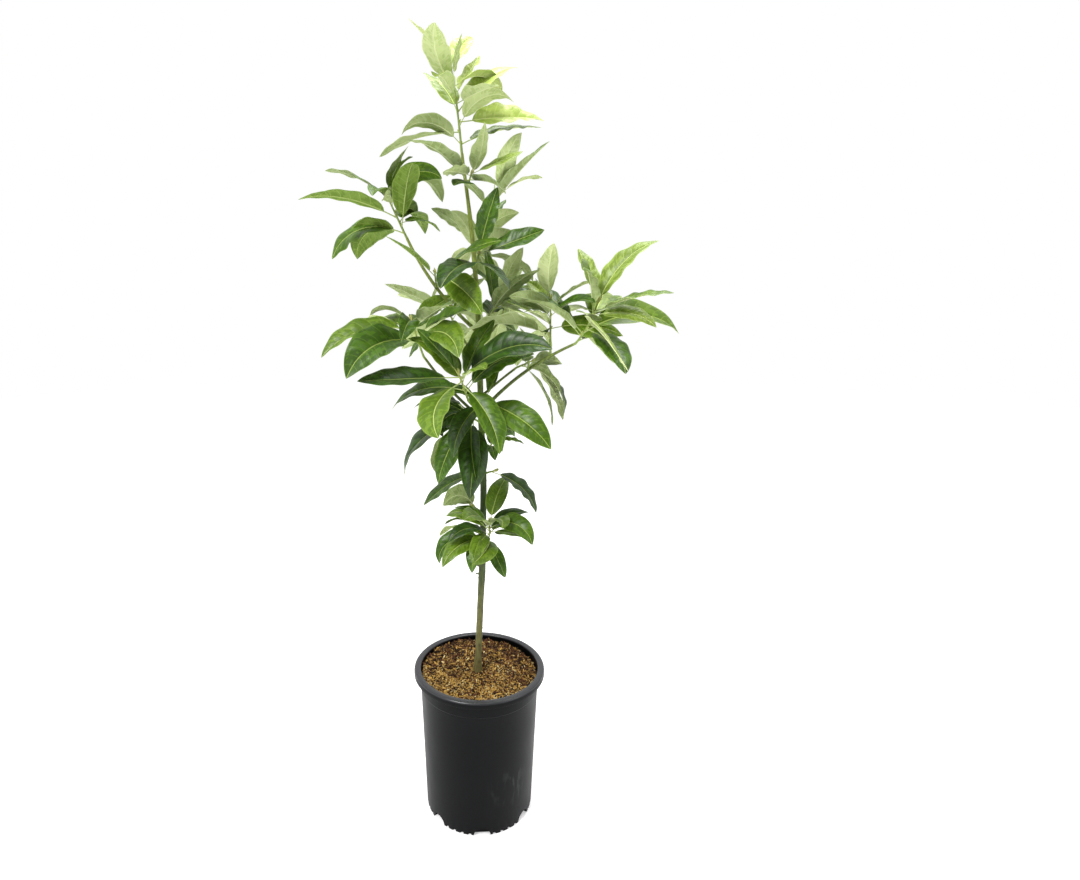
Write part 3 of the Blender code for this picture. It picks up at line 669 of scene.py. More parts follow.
class Heap:
    """Vertices, faces and material slots gathered from many small meshes."""

    def __init__(self):
        self.vertices, self.faces, self.slots, self.count = [], [], [], 0

    def add(self, vertices, faces, slots):
        self.vertices.append(np.asarray(vertices))
        self.faces += [tuple(int(i) + self.count for i in face) for face in faces]
        self.slots += list(slots)
        self.count += len(vertices)

    def add_tube(self, path, radii, sides, slot=0, relief=None):
        vertices, faces = tube(path, radii, sides, relief)
        self.add(vertices, faces, [slot] * len(faces))

    def piece(self, name, materials, crease=BARK_CREASE):
        return add_mesh(name, np.vstack(self.vertices), self.faces, materials, self.slots, crease)


def unit_rows(rows):
    return rows / np.linalg.norm(rows, axis=1)[:, None]


def ring_faces(rings, sides):
    """The faces between rings of vertices."""
    faces = []
    for ring in range(rings - 1):
        for k in range(sides):
            a, b = ring * sides + k, ring * sides + (k + 1) % sides
            faces.append((a, b, b + sides, a + sides))
    return faces


def tube(path, radii, sides, relief=None):
    """Rings of vertices round a path, whose frames turn as little as they can, and the faces between."""
    path = np.asarray(path)
    steps = np.diff(path, axis=0)
    tangents = unit_rows(np.vstack((steps[:1], steps[:-1] + steps[1:], steps[-1:])))
    side = np.cross(tangents[0], UP if abs(tangents[0][2]) < 0.9 else ACROSS)
    angles = np.arange(sides) * 2.0 * math.pi / sides
    vertices = []
    for row, (point, tangent, radius) in enumerate(zip(path, tangents, radii)):
        side = unit(side - float(side @ tangent) * tangent)
        other = np.cross(tangent, side)
        ring = np.full(sides, radius)
        if relief is not None:
            ring = ring + relief(row, angles)
        x, y = np.cos(angles) * ring, np.sin(angles) * ring
        vertices.append(point + x[:, None] * side + y[:, None] * other)
    rows = len(path)
    vertices = np.vstack(vertices + [path[:1], path[-1:]])
    faces = ring_faces(rows, sides)
    foot, tip = rows * sides, rows * sides + 1
    last = (rows - 1) * sides
    for k in range(sides):
        faces.append((foot, (k + 1) % sides, k))
        faces.append((tip, last + k, last + (k + 1) % sides))
    return vertices, faces


def read_off(rows, run, at):
    """Rows of three values, interpolated at places along their run."""
    return np.stack([np.interp(at, run, rows[:, i]) for i in range(3)], axis=1)


def resampled(path, step):
    """The path at even distances."""
    count = max(2, int(round(path_length(path) / step)) + 1)
    at = np.linspace(0.0, 1.0, count)
    return read_off(path, shares(path), at), at


def blade_outline(t, length):
    """Half the blade's width at a share of its length, drawn out into a fine tip."""
    widest = BLADE_BASE_POWER / (BLADE_BASE_POWER + BLADE_TIP_POWER)
    peak = widest ** BLADE_BASE_POWER * (1.0 - widest) ** BLADE_TIP_POWER
    half = 0.5 * BLADE_WIDTH * (1.0 - PETIOLE_SHARE) * length
    t = np.clip(t, 0.0, 1.0)
    return half * t ** BLADE_BASE_POWER * (1.0 - t) ** BLADE_TIP_POWER / peak


def vein_stations():
    """Shares of the blade's length where its rows of faces start, and which rows are side veins."""
    starts = list(FOOT_ROWS)
    veins = [False, False]
    feet = [FIRST_VEIN + VEIN_SPAN * (k / (VEIN_PAIRS - 1)) ** VEIN_CROWDING for k in range(VEIN_PAIRS)]
    for k, foot in enumerate(feet):
        starts += [foot - VEIN_HALF_WIDTH, foot + VEIN_HALF_WIDTH]
        veins += [True, False]
        following = feet[k + 1] - VEIN_HALF_WIDTH if k + 1 < len(feet) else VEINS_END
        for part in VEIN_ROWS:
            starts.append(between((foot + VEIN_HALF_WIDTH, following), part))
            veins.append(False)
    starts += TIP_ROWS
    veins += [False, False]
    return np.array(starts), veins, np.array(feet)


STATIONS, VEIN_STRIPS, VEIN_FEET = vein_stations()


def quilt_height(t):
    """How far the blade swells between its side veins, from 0 on a vein to 1 midway."""
    grid = np.concatenate(((0.0,), VEIN_FEET, (1.0,)))
    cell = np.clip(np.searchsorted(grid, t, side="right") - 1, 0, len(grid) - 2)
    phase = (t - grid[cell]) / (grid[cell + 1] - grid[cell])
    return 1.0 - np.abs(2.0 * phase - 1.0) ** QUILT_ROUNDNESS


QUILT_ROWS = quilt_height(STATIONS) * np.sin(math.pi * STATIONS) ** 0.5

# The columns of a blade from its left margin to its right: the side, and the number from the midrib out
BLADE_COLUMNS = ([(-1, k) for k in reversed(range(len(COLUMNS) + 1))] + [(0, -1)]
                 + [(1, k) for k in range(len(COLUMNS) + 1)])


def blade_skins(plan, chance):
    """The upper and lower skin of a leaf's blade, column by column, and its centreline with its run."""
    length = plan[3]
    points, directions, faces = midrib(*plan)
    fine = smooth_path(points)
    run = np.linspace(0.0, 1.0, len(fine))
    coarse = np.linspace(0.0, 1.0, len(points))
    fold = math.radians(BLADE_FOLD + chance.uniform(*FOLD_SCATTER))
    curl = CURL + chance.uniform(*CURL_SCATTER)
    phases = [chance.uniform(0.0, 2.0 * math.pi) for _ in range(2)]
    wave = WAVE_HEIGHT * chance.uniform(*WAVE_SCATTER)
    waves = WAVES * chance.uniform(*WAVES_SCATTER)
    quilt = QUILT * chance.uniform(*QUILT_SCATTER)
    twist = math.radians(TWIST_SCATTER) * chance.gauss(0.0, 1.0)
    upper, lower = [], []
    for side, k in BLADE_COLUMNS:
        v = COLUMNS[k - 1] if k > 0 else 0.0
        t = STATIONS + VEIN_SLANT * np.sin(math.pi * STATIONS) * v ** VEIN_CURVE
        share = PETIOLE_SHARE + (1.0 - PETIOLE_SHARE) * t
        ahead = unit_rows(read_off(directions, coarse, share))
        up = read_off(faces, coarse, share)
        up = unit_rows(up - (up * ahead).sum(axis=1)[:, None] * ahead)
        turn = twist * np.clip(t, 0.0, 1.0)
        up = up * np.cos(turn)[:, None] + np.cross(ahead, up) * np.sin(turn)[:, None]
        half = np.maximum(blade_outline(t, length), LEAST_HALF_WIDTH)
        rib = np.minimum(RIB_WIDTH * length * (1.0 - RIB_TAPER * t), RIB_SHARE * half)
        reach = rib + (half - rib) * v if k >= 0 else np.zeros(len(STATIONS))
        w = reach / half
        angle = fold * (1.0 - FOLD_OPENING * t)
        rise = reach * np.sin(angle) - curl * half * w ** CURL_POWER
        rise = rise + wave * half * w ** 2 * np.sin(2.0 * math.pi * waves * t + phases[max(side, 0)])
        swell = quilt * length * QUILT_ROWS * np.sin(math.pi * np.clip(w, 0, 1) ** QUILT_SPREAD)
        rise = rise + swell * (QUILT_LEAST + half / half.max())
        thick = BLADE_THICKNESS * length * (1.0 - MARGIN_THINNING * w) * (1.0 - TIP_THINNING * t)
        groove = RIB_DEPTH * length * (1.0 - RIB_FADE * t) * (k < 0)
        place = read_off(fine, run, share) + np.cross(ahead, up) * (side * reach * np.cos(angle))[:, None]
        upper.append(place + up * (rise + 0.5 * thick - RIB_GROOVE * groove)[:, None])
        lower.append(place + up * (rise - 0.5 * thick - groove)[:, None])
    return upper, lower, fine, run


def blade_faces(tone, chance):
    """The faces of a blade's closed shell, and the slot of each, by its part of the leaf and its tone."""
    mottle = [chance.uniform(0.0, 2.0 * math.pi) for _ in range(3)]
    rows, width = len(STATIONS), len(BLADE_COLUMNS)
    below = width * rows
    first = LEAF_SLOT[tone]
    faces, slots = [], []
    for column in range(width - 1):
        middle = column in (width // 2 - 1, width // 2)
        for row in range(rows - 1):
            a = column * rows + row
            b = a + rows
            vein = VEIN_STRIPS[row] or column in (0, width - 2)
            blotch = (math.sin(11.0 * STATIONS[row] + mottle[0]) + math.sin(1.9 * column + mottle[1])
                      + math.sin(23.0 * STATIONS[row] - 1.1 * column + mottle[2]) + chance.uniform(-1.0, 1.0))
            part = first + (2 if middle else 4 if vein else 6 if blotch > MOTTLE_LEVEL else 0)
            faces += [(a, a + 1, b + 1, b), (below + a, below + b, below + b + 1, below + a + 1)]
            slots += [part, part + 1]
    for row in range(rows - 1):
        far = (width - 1) * rows + row
        faces += [(row, below + row, below + row + 1, row + 1), (far, far + 1, below + far + 1, below + far)]
    for a in range(0, (width - 1) * rows, rows):
        b, end = a + rows, a + rows - 1
        faces += [(a, b, below + b, below + a), (end, below + end, below + end + rows, end + rows)]
    slots += [first + 1] * (len(faces) - len(slots))
    return faces, slots


def add_leaf(heap, plan, tone, chance):
    """A leaf's blade, a thin closed shell with its veins: rows follow the side veins, columns the margin."""
    upper, lower, fine, run = blade_skins(plan, chance)
    faces, slots = blade_faces(tone, chance)
    heap.add(np.vstack(upper + lower), faces, slots)
    return fine, run


def tone_colour(tone):
    """A colour given as red, green and blue from 0 to 255, as the shader wants it."""
    values = np.asarray(tone) / 255.0
    linear = np.where(values <= 0.04045, values / 12.92, ((values + 0.055) / 1.055) ** 2.4)
    return (*[float(v) for v in linear], 1.0)


def new_material(name, tone, roughness, specular=0.5):
    material = bpy.data.materials.new(name)
    material.use_nodes = True
    shader = shader_of(material)
    shader.inputs["Base Color"].default_value = tone_colour(tone)
    shader.inputs["Roughness"].default_value = roughness
    shader.inputs["Specular IOR Level"].default_value = specular
    return material


def add_node(material, kind, **values):
    node = material.node_tree.nodes.new(kind)
    for name, value in values.items():
        if hasattr(node, name):
            setattr(node, name, value)
        else:
            node.inputs[name.replace("_", " ")].default_value = value
    return node


def link(material, source, target):
    material.node_tree.links.new(source, target)


def object_noise(material, scale, detail=4.0, stretch=None):
    """Noise in the piece's own metres, and its Fac output."""
    place = add_node(material, "ShaderNodeTexCoord")
    grain = add_node(material, "ShaderNodeTexNoise", Scale=scale, Detail=detail)
    if stretch:
        mapping = add_node(material, "ShaderNodeMapping")
        mapping.inputs["Scale"].default_value = stretch
        link(material, place.outputs["Object"], mapping.inputs["Vector"])
        link(material, mapping.outputs["Vector"], grain.inputs["Vector"])
    else:
        link(material, place.outputs["Object"], grain.inputs["Vector"])
    return grain.outputs["Fac"]


def ramp(material, source, stops):
    """A colour ramp of (position, tone) stops."""
    node = add_node(material, "ShaderNodeValToRGB")
    link(material, source, node.inputs["Fac"])
    elements = node.color_ramp.elements
    for number, (position, tone) in enumerate(stops):
        element = elements[number] if number < 2 else elements.new(position)
        element.position = position
        element.color = tone_colour(tone)
    return node.outputs["Color"]


def value_range(material, source, low=0.0, high=1.0, span=(0.0, 1.0), smooth=False):
    """A value carried from its span to a range from low to high."""
    node = add_node(material, "ShaderNodeMapRange")
    if smooth:
        node.interpolation_type = "SMOOTHSTEP"
    link(material, source, node.inputs["Value"])
    for name, value in zip(("From Min", "From Max", "To Min", "To Max"), (*span, low, high)):
        node.inputs[name].default_value = value
    return node.outputs["Result"]


def height_of(material):
    """Height in the piece's own metres."""
    place = add_node(material, "ShaderNodeTexCoord")
    split = add_node(material, "ShaderNodeSeparateXYZ")
    link(material, place.outputs["Object"], split.inputs["Vector"])
    return split.outputs["Z"]


def product(material, first, second):
    node = add_node(material, "ShaderNodeMath", operation="MULTIPLY")
    link(material, first, node.inputs[0])
    link(material, second, node.inputs[1])
    return node.outputs["Value"]


def overlaid(material, under, tone, amount):
    """A colour with a plain tone laid over it by an amount."""
    node = add_node(material, "ShaderNodeMix", data_type="RGBA")
    link(material, amount, node.inputs["Factor"])
    link(material, under, node.inputs["A"])
    node.inputs["B"].default_value = tone_colour(tone)
    return node.outputs["Result"]


def bump(material, source, strength, distance):
    node = add_node(material, "ShaderNodeBump", Strength=strength, Distance=distance)
    link(material, source, node.inputs["Height"])
    link(material, node.outputs["Normal"], shader_of(material).inputs["Normal"])


def shader_of(material):
    return material.node_tree.nodes["Principled BSDF"]


def grained_material(name, tone, roughness, specular, scale, detail, spread):
    """A plain tone whose roughness varies by a spread to either side."""
    material = new_material(name, tone, roughness, specular)
    grain = object_noise(material, scale, detail)
    rough = value_range(material, grain, roughness - spread, roughness + spread)
    link(material, rough, shader_of(material).inputs["Roughness"])
    return material


def leaf_materials():
    """A material for each part of a leaf in each tone, and the first slot of each tone."""
    made, slots = [], {}
    for name, tones in LEAF_TONES.items():
        slots[name] = len(made)
        for tone, (part, roughness, specular) in zip(tones, LEAF_PARTS):
            made.append(grained_material(f"leaf {name} {part}", tone, roughness, specular,
                                         scale=900.0, detail=3.0, spread=0.07))
    return made, slots


LEAF_MATERIALS, LEAF_SLOT = leaf_materials()


def bark_material():
    """Green bark of a young trunk that turns khaki and brown-flecked towards its foot, and is darkest green
    about a third of the way up.
    """
    material = new_material("bark", (90, 100, 50), roughness=0.6)
    height = value_range(material, height_of(material), span=(SOIL_LEVEL, 1.05))
    green = ramp(material, height, (
        (0.0, (112, 104, 62)), (1.0, (136, 150, 62)), (0.12, (108, 106, 58)), (0.24, (72, 84, 34)),
        (0.40, (50, 72, 18)), (0.62, (84, 102, 34)), (0.85, (118, 134, 52))))
    flecks = ramp(material, object_noise(material, scale=260.0, detail=6.0, stretch=(1.0, 1.0, 0.35)), (
        (0.36, (96, 88, 60)), (0.60, (236, 240, 214)), (0.48, (200, 200, 168))))
    mix = add_node(material, "ShaderNodeMix", data_type="RGBA", blend_type="MULTIPLY")
    mix.inputs["Factor"].default_value = 0.55
    link(material, green, mix.inputs["A"])
    link(material, flecks, mix.inputs["B"])
    link(material, mix.outputs["Result"], shader_of(material).inputs["Base Color"])
    grain = object_noise(material, scale=700.0, detail=5.0, stretch=(1.0, 1.0, 0.3))
    rough = value_range(material, grain, low=0.45, high=0.8)
    link(material, rough, shader_of(material).inputs["Roughness"])
    bump(material, grain, strength=0.6, distance=0.0004)
    return material


def pot_material():
    """Black moulded plastic, satin, with a fine grain, a few pale scuffs, and a glossier top edge whose colour
    is painted lighter grey as a painted highlight.
    """
    material = new_material("pot plastic", (6, 7, 9), roughness=0.36, specular=0.09)
    shader = shader_of(material)
    place = add_node(material, "ShaderNodeTexCoord")
    dust = object_noise(material, scale=26.0, detail=5.0, stretch=(1.0, 1.0, 0.6))
    tone = ramp(material, dust, ((0.30, (3, 4, 6)), (0.80, (10, 11, 13)), (0.60, (6, 7, 9))))
    near = add_node(material, "ShaderNodeVectorMath", operation="DISTANCE")
    link(material, place.outputs["Object"], near.inputs[0])
    near.inputs[1].default_value = SCUFF_PLACE
    patch = value_range(material, near.outputs["Value"], span=SCUFF_FADE, smooth=True)
    streaks = object_noise(material, scale=120.0, detail=6.0, stretch=(1.0, 1.0, 0.25))
    worn = value_range(material, streaks, span=(0.50, 0.72))
    tone = overlaid(material, tone, (54, 56, 56), product(material, patch, worn))
    # The top edge: a painted highlight, its colour laid over with a lighter grey (46, 47, 50), and a real
    # gloss, with more specular and less roughness
    high = value_range(material, height_of(material), span=TOP_GLOSS_AND_PAINTED_HIGHLIGHT_FADE, smooth=True)
    link(material, overlaid(material, tone, (46, 47, 50), high), shader.inputs["Base Color"])
    gloss = value_range(material, high, low=0.09, high=0.60)
    link(material, gloss, shader.inputs["Specular IOR Level"])
    satin = value_range(material, dust, low=0.34, high=0.52)
    polish = value_range(material, high, low=1.0, high=0.62)
    link(material, product(material, satin, polish), shader.inputs["Roughness"])
    bump(material, object_noise(material, scale=1500.0, detail=3.0), strength=0.12, distance=0.0002)
    return material


def soil_material():
    material = new_material("potting mix", (86, 58, 34), roughness=0.95, specular=0.2)
    grain = object_noise(material, scale=380.0, detail=7.0)
    tone = ramp(material, grain, ((0.30, (22, 14, 8)), (0.75, (118, 82, 42)), (0.55, (58, 37, 20))))
    link(material, tone, shader_of(material).inputs["Base Color"])
    bump(material, grain, strength=0.9, distance=0.002)
    return material


def add_camera():
    data = bpy.data.cameras.new("camera")
    data.sensor_fit = "HORIZONTAL"
    data.sensor_width = SENSOR
    data.lens = FOCAL_PIXELS / IMAGE_WIDTH * SENSOR
    data.shift_x = (0.5 * IMAGE_WIDTH - AXIS_PIXEL) / IMAGE_WIDTH
    camera = add_object("camera", data)
    camera.location = CAMERA_PLACE
    camera.rotation_euler = (math.radians(90.0 - CAMERA_PITCH), 0.0, 0.0)
    bpy.context.scene.camera = camera


def add_light(name, place, target, size, power):
    data = bpy.data.lights.new(name, "AREA")
    data.shape = "DISK"
    data.size = size
    data.energy = power
    lamp = add_object(name, data)
    lamp.location = place
    lamp.rotation_euler = (Vector(target) - Vector(place)).to_track_quat("-Z", "Y").to_euler()


def add_studio():
    """A pale floor, a white surround that is dimmer in front, and soft lamps above and at both sides."""
    shape = bmesh.new()
    bmesh.ops.create_circle(shape, cap_ends=True, segments=96, radius=FLOOR_SIZE)
    mesh = bpy.data.meshes.new("floor")
    shape.to_mesh(mesh)
    shape.free()
    floor = add_object("floor", mesh)
    material = new_material("floor", (250, 250, 250), roughness=0.9, specular=0.1)
    shader_of(material).inputs["Emission Color"].default_value = (1.0, 1.0, 1.0, 1.0)
    shader_of(material).inputs["Emission Strength"].default_value = FLOOR_GLOW
    mesh.materials.append(material)
    world = bpy.data.worlds.new("surround")
    bpy.context.scene.world = world
    world.use_nodes = True
    nodes, links = world.node_tree.nodes, world.node_tree.links
    background = nodes["Background"]
    place = nodes.new("ShaderNodeTexCoord")
    split = nodes.new("ShaderNodeSeparateXYZ")
    links.new(place.outputs["Generated"], split.inputs["Vector"])
    front = nodes.new("ShaderNodeMapRange")
    front.interpolation_type = "SMOOTHSTEP"
    front.inputs["From Min"].default_value, front.inputs["From Max"].default_value = SURROUND_TURN
    front.inputs["To Min"].default_value = SURROUND_IN_FRONT
    front.inputs["To Max"].default_value = SURROUND_BEHIND
    links.new(split.outputs["Y"], front.inputs["Value"])
    seen = nodes.new("ShaderNodeLightPath")
    white = nodes.new("ShaderNodeMix")
    links.new(seen.outputs["Is Camera Ray"], white.inputs["Factor"])
    links.new(front.outputs["Result"], white.inputs["A"])
    white.inputs["B"].default_value = 1.0
    links.new(white.outputs["Result"], background.inputs["Strength"])
    background.inputs["Color"].default_value = (1.0, 1.0, 1.0, 1.0)
    for name, (spot, target, size, power) in LAMPS.items():
        add_light(name, spot, target, size, power)
    bpy.context.scene.view_settings.view_transform = "Standard"


def arc(centre_x, centre_z, radius, start, end, steps):
    """Points of an arc in the XZ plane, angles from +X towards +Z."""
    angles = np.radians(np.linspace(start, end, steps + 1))
    return [(centre_x + radius * math.cos(a), centre_z + radius * math.sin(a)) for a in angles]


def body_radius(height):
    """Outer radius of the pot's plain side at a height."""
    top_radius = BAND_RADIUS - BAND_STEP
    return FOOT_RADIUS + (top_radius - FOOT_RADIUS) * height / (POT_HEIGHT - LIP_HEIGHT - BAND_HEIGHT)


def rounded(points, radius, steps=4):
    """A profile whose inner corners are rounded off by up to a radius."""
    p = [np.array(point) for point in points]
    out = [p[0]]
    for before, corner, after in zip(p, p[1:], p[2:]):
        back, ahead = before - corner, after - corner
        reach = min(radius, 0.45 * np.linalg.norm(back), 0.45 * np.linalg.norm(ahead))
        a, b = corner + unit(back) * reach, corner + unit(ahead) * reach
        for t in np.linspace(0.0, 1.0, steps + 1):
            out.append((1 - t) ** 2 * a + 2 * t * (1 - t) * corner + t ** 2 * b)
    return np.array(out + [p[-1]])


def pot_profile():
    """From the inside of the floor up the inner wall, over the rim and down the outside to the centre."""
    lip_under = POT_HEIGHT - WALL
    band_foot = POT_HEIGHT - LIP_HEIGHT - BAND_HEIGHT
    ring_inner = FOOT_RADIUS - FOOT_RING_WIDTH
    inner_rim = BAND_RADIUS - WALL
    inside = rounded([
        (0.0, FLOOR),
        (ring_inner, FLOOR),
        (ring_inner + FLOOR, FOOT_RING_HEIGHT),
        (body_radius(FOOT_RING_HEIGHT) - WALL, FOOT_RING_HEIGHT),
        (body_radius(0.5 * POT_HEIGHT) - WALL, 0.5 * POT_HEIGHT),
        (inner_rim - BAND_STEP, band_foot),
        (inner_rim, band_foot + BAND_STEP),
        (inner_rim, POT_HEIGHT - 0.006),
    ], INSIDE_ROUND, 3)
    lip = rounded([
        (inner_rim, POT_HEIGHT - 0.005),
        (inner_rim + 0.0004, POT_HEIGHT - 0.0012),
        (inner_rim + 0.0030, POT_HEIGHT - 0.0004),
        (RIM_RADIUS - 0.0052, POT_HEIGHT),
        (RIM_RADIUS - 0.0008, POT_HEIGHT - 0.0014),
        (RIM_RADIUS, POT_HEIGHT - 0.0060),
        (RIM_RADIUS - 0.0002, POT_HEIGHT - LIP_HEIGHT),
        (RIM_RADIUS - WALL, POT_HEIGHT - LIP_HEIGHT),
        (RIM_RADIUS - WALL, lip_under - WALL),
        (RIM_RADIUS - 2 * WALL, lip_under),
        (BAND_RADIUS + 0.0002, lip_under),
        (BAND_RADIUS, lip_under - WALL),
    ], LIP_ROUND, 5)
    outside = rounded([
        (BAND_RADIUS, lip_under - 2 * WALL),
        (BAND_RADIUS, band_foot),
        (BAND_RADIUS - BAND_STEP, band_foot - BAND_STEP),
        (body_radius(0.66 * POT_HEIGHT), 0.66 * POT_HEIGHT),
        (body_radius(0.33 * POT_HEIGHT), 0.33 * POT_HEIGHT),
        (body_radius(0.1 * POT_HEIGHT), 0.1 * POT_HEIGHT),
        (FOOT_RADIUS, FOOT_CHAMFER),
        (FOOT_RADIUS - FOOT_CHAMFER, 0.0),
        (FOOT_RADIUS - 0.004, 0.0),
        (0.0, 0.0),
    ], OUTSIDE_ROUND, 3)
    return np.vstack((inside, lip, outside))


def turned_mesh(name, profile, sides):
    """A profile of (radius, height) rows, whose ends lie on the axis, turned into a closed mesh."""
    angles = np.arange(sides) * 2.0 * math.pi / sides
    vertices, faces = [(0.0, 0.0, profile[0][1])], []
    for radius, height in profile[1:-1]:
        vertices += [(radius * math.cos(a), radius * math.sin(a), height) for a in angles]
    vertices.append((0.0, 0.0, profile[-1][1]))
    rows = len(profile) - 2
    for k in range(sides):
        after = (k + 1) % sides
        faces.append((0, 1 + k, 1 + after))
        for row in range(rows - 1):
            a, b = 1 + row * sides + k, 1 + row * sides + after
            faces.append((a, a + sides, b + sides, b))
        last = 1 + (rows - 1) * sides
        faces.append((len(vertices) - 1, last + after, last + k))
    mesh = bpy.data.meshes.new(name)
    mesh.from_pydata(vertices, [], faces)
    return mesh


def foot_cutters(collection):
    """Drain arches, and the gaps between the teeth that stand between two arches."""
    arch_mesh = bpy.data.meshes.new("arch_cutter")
    shape = bmesh.new()
    bmesh.ops.create_cone(shape, cap_ends=True, segments=ARCH_SIDES, radius1=ARCH_RADIUS,
                          radius2=ARCH_RADIUS, depth=2 * ARCH_DEPTH)
    bmesh.ops.rotate(shape, verts=shape.verts, matrix=Vector((1, 0, 0)).to_track_quat("Z", "Y").to_matrix())
    shape.to_mesh(arch_mesh)
    shape.free()
    gap_mesh = bpy.data.meshes.new("gap_cutter")
    shape = bmesh.new()
    bmesh.ops.create_cube(shape, size=1.0)
    bmesh.ops.scale(shape, verts=shape.verts, vec=(2 * TOOTH_DEPTH, TOOTH_GAP, 2 * TOOTH_HEIGHT))
    bmesh.ops.bevel(shape, geom=shape.edges[:], offset=TOOTH_ROUND, segments=3, affect="EDGES")
    shape.to_mesh(gap_mesh)
    shape.free()
    pitch = 360.0 / (ARCHES * PITCHES_PER_ARCH)
    for number in range(ARCHES * PITCHES_PER_ARCH):
        place = number % PITCHES_PER_ARCH
        if place == 1:
            continue
        azimuth = ARCH_AZIMUTH + pitch * number - (pitch / 2 if place else 0.0)
        a = math.radians(azimuth)
        cutter = bpy.data.objects.new(f"foot cutter {number}", gap_mesh if place else arch_mesh)
        collection.objects.link(cutter)
        cutter.rotation_euler = (0.0, 0.0, a)
        cutter.location = (FOOT_RADIUS * math.cos(a), FOOT_RADIUS * math.sin(a), 0.0)


def evaluated_mesh(source):
    bpy.context.view_layer.update()
    graph = bpy.context.evaluated_depsgraph_get()
    return bpy.data.meshes.new_from_object(source.evaluated_get(graph))


def add_pot():
    cutters = bpy.data.collections.new("foot cutters")
    bpy.context.scene.collection.children.link(cutters)
    foot_cutters(cutters)
    turned = add_object("pot turned", turned_mesh("pot turned", pot_profile(), POT_SIDES))
    cut = turned.modifiers.new("foot cuts", "BOOLEAN")
    cut.operation = "DIFFERENCE"
    cut.operand_type = "COLLECTION"
    cut.collection = cutters
    cut.solver = "MANIFOLD"
    mesh = evaluated_mesh(turned)
    for used in [turned, *cutters.objects]:
        bpy.data.objects.remove(used)
    bpy.data.collections.remove(cutters)
    mesh.materials.clear()
    mesh.materials.append(pot_material())
    mesh.shade_smooth()
    mesh.set_sharp_from_angle(angle=math.radians(POT_CREASE))
    pot = add_object("pot_shell", mesh)
    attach(pot, "root")
    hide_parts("pot")


def soil_height(x, y):
    """Height of the potting mix: level round the trunk, higher to the left and behind, with soft lumps."""
    away = max(0.0, math.hypot(x - TRUNK_POINTS[0][0], y - TRUNK_POINTS[0][1]) - SOIL_FLAT_RADIUS)
    fade = min(1.0, away / SOIL_BUMP_SIZE)
    lumps = noise.noise(Vector((x, y, 0.0)) / SOIL_BUMP_SIZE)
    slope = SOIL_BACK_RISE * max(0.0, y) - SOIL_TILT * x
    return SOIL_LEVEL - CLEAR + (slope + SOIL_BUMPS * lumps) * fade


def add_soil():
    edge = body_radius(SOIL_LEVEL) - WALL - 2 * CLEAR - BAND_STEP
    vertices, faces = [], []
    for ring in range(SOIL_RINGS + 1):
        radius = max(edge * ring / SOIL_RINGS, 0.00002)
        for k in range(SOIL_SIDES):
            a = 2.0 * math.pi * k / SOIL_SIDES
            x, y = radius * math.cos(a), radius * math.sin(a)
            crumbs = noise.noise(Vector((x, y, 0.3)) / CRUMB_SIZE)
            crumbs += FINE_CRUMB_SHARE * noise.noise(Vector((x, y, 0.7)) / FINE_CRUMB_SIZE)
            vertices.append((x, y, soil_height(x, y) - SOIL_SINK + SOIL_ROUGHNESS * crumbs))
    for ring in range(SOIL_RINGS):
        for k in range(SOIL_SIDES):
            a, b = ring * SOIL_SIDES + k, ring * SOIL_SIDES + (k + 1) % SOIL_SIDES
            faces.append((a, a + SOIL_SIDES, b + SOIL_SIDES, b))
    start = len(vertices)
    rim = SOIL_RINGS * SOIL_SIDES
    for k in range(SOIL_SIDES):
        x, y, z = vertices[rim + k]
        vertices.append((x * BED_TAPER, y * BED_TAPER, z - BED_DEPTH))
    for k in range(SOIL_SIDES):
        after = (k + 1) % SOIL_SIDES
        faces.append((rim + k, start + k, start + after, rim + after))
    faces.append(tuple(range(start + SOIL_SIDES - 1, start - 1, -1)))
    soil = add_mesh("soil_bed", vertices, faces, [soil_material()], crease=SOIL_CREASE)
    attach(soil, "root")
    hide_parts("soil")
    add_chips()


def chip(chance, length):
    """An angular flake: a box with its corners moved by chance."""
    width = length * chance.uniform(*CHIP_WIDTH)
    thick = min(length * 0.4, chance.uniform(*CHIP_THICKNESS))
    corners = []
    for sx in (-0.5, 0.5):
        for sy in (-0.5, 0.5):
            for sz in (-0.5, 0.5):
                x = sx * length * chance.uniform(0.55, 1.0)
                y = sy * width * chance.uniform(0.4, 1.0)
                z = sz * thick * chance.uniform(0.6, 1.2)
                corners.append((x, y, z))
    faces = ((0, 1, 3, 2), (4, 6, 7, 5), (0, 4, 5, 1), (2, 3, 7, 6), (0, 2, 6, 4), (1, 5, 7, 3))
    return np.array(corners), faces


def turn_matrix(turn, tilt, roll):
    """A turn about Z after a tilt about Y after a roll about X."""
    cos, sin = math.cos, math.sin
    spin = np.array(((cos(turn), -sin(turn), 0), (sin(turn), cos(turn), 0), (0, 0, 1)))
    tip = np.array(((cos(tilt), 0, sin(tilt)), (0, 1, 0), (-sin(tilt), 0, cos(tilt))))
    lean = np.array(((1, 0, 0), (0, cos(roll), -sin(roll)), (0, sin(roll), cos(roll))))
    return spin @ tip @ lean


def chip_weights(x, y):
    """How likely each kind of chip is at a place: the golden and pale ones lie in drifts, and grow more common
    towards the front and the left.
    """
    drift = 0.6 * noise.noise(Vector((x, y, 2.0)) / GOLD_PATCH_SIZE)
    gold = limited(0.60 - 6.0 * y - 1.5 * x + drift, (0.05, 1.0))
    light, dark = 0.4 + 1.6 * gold, 1.4 - 0.8 * gold
    return [share * (light if kind in ("golden", "pale") else dark) for kind, (share, _, _) in CHIPS.items()]


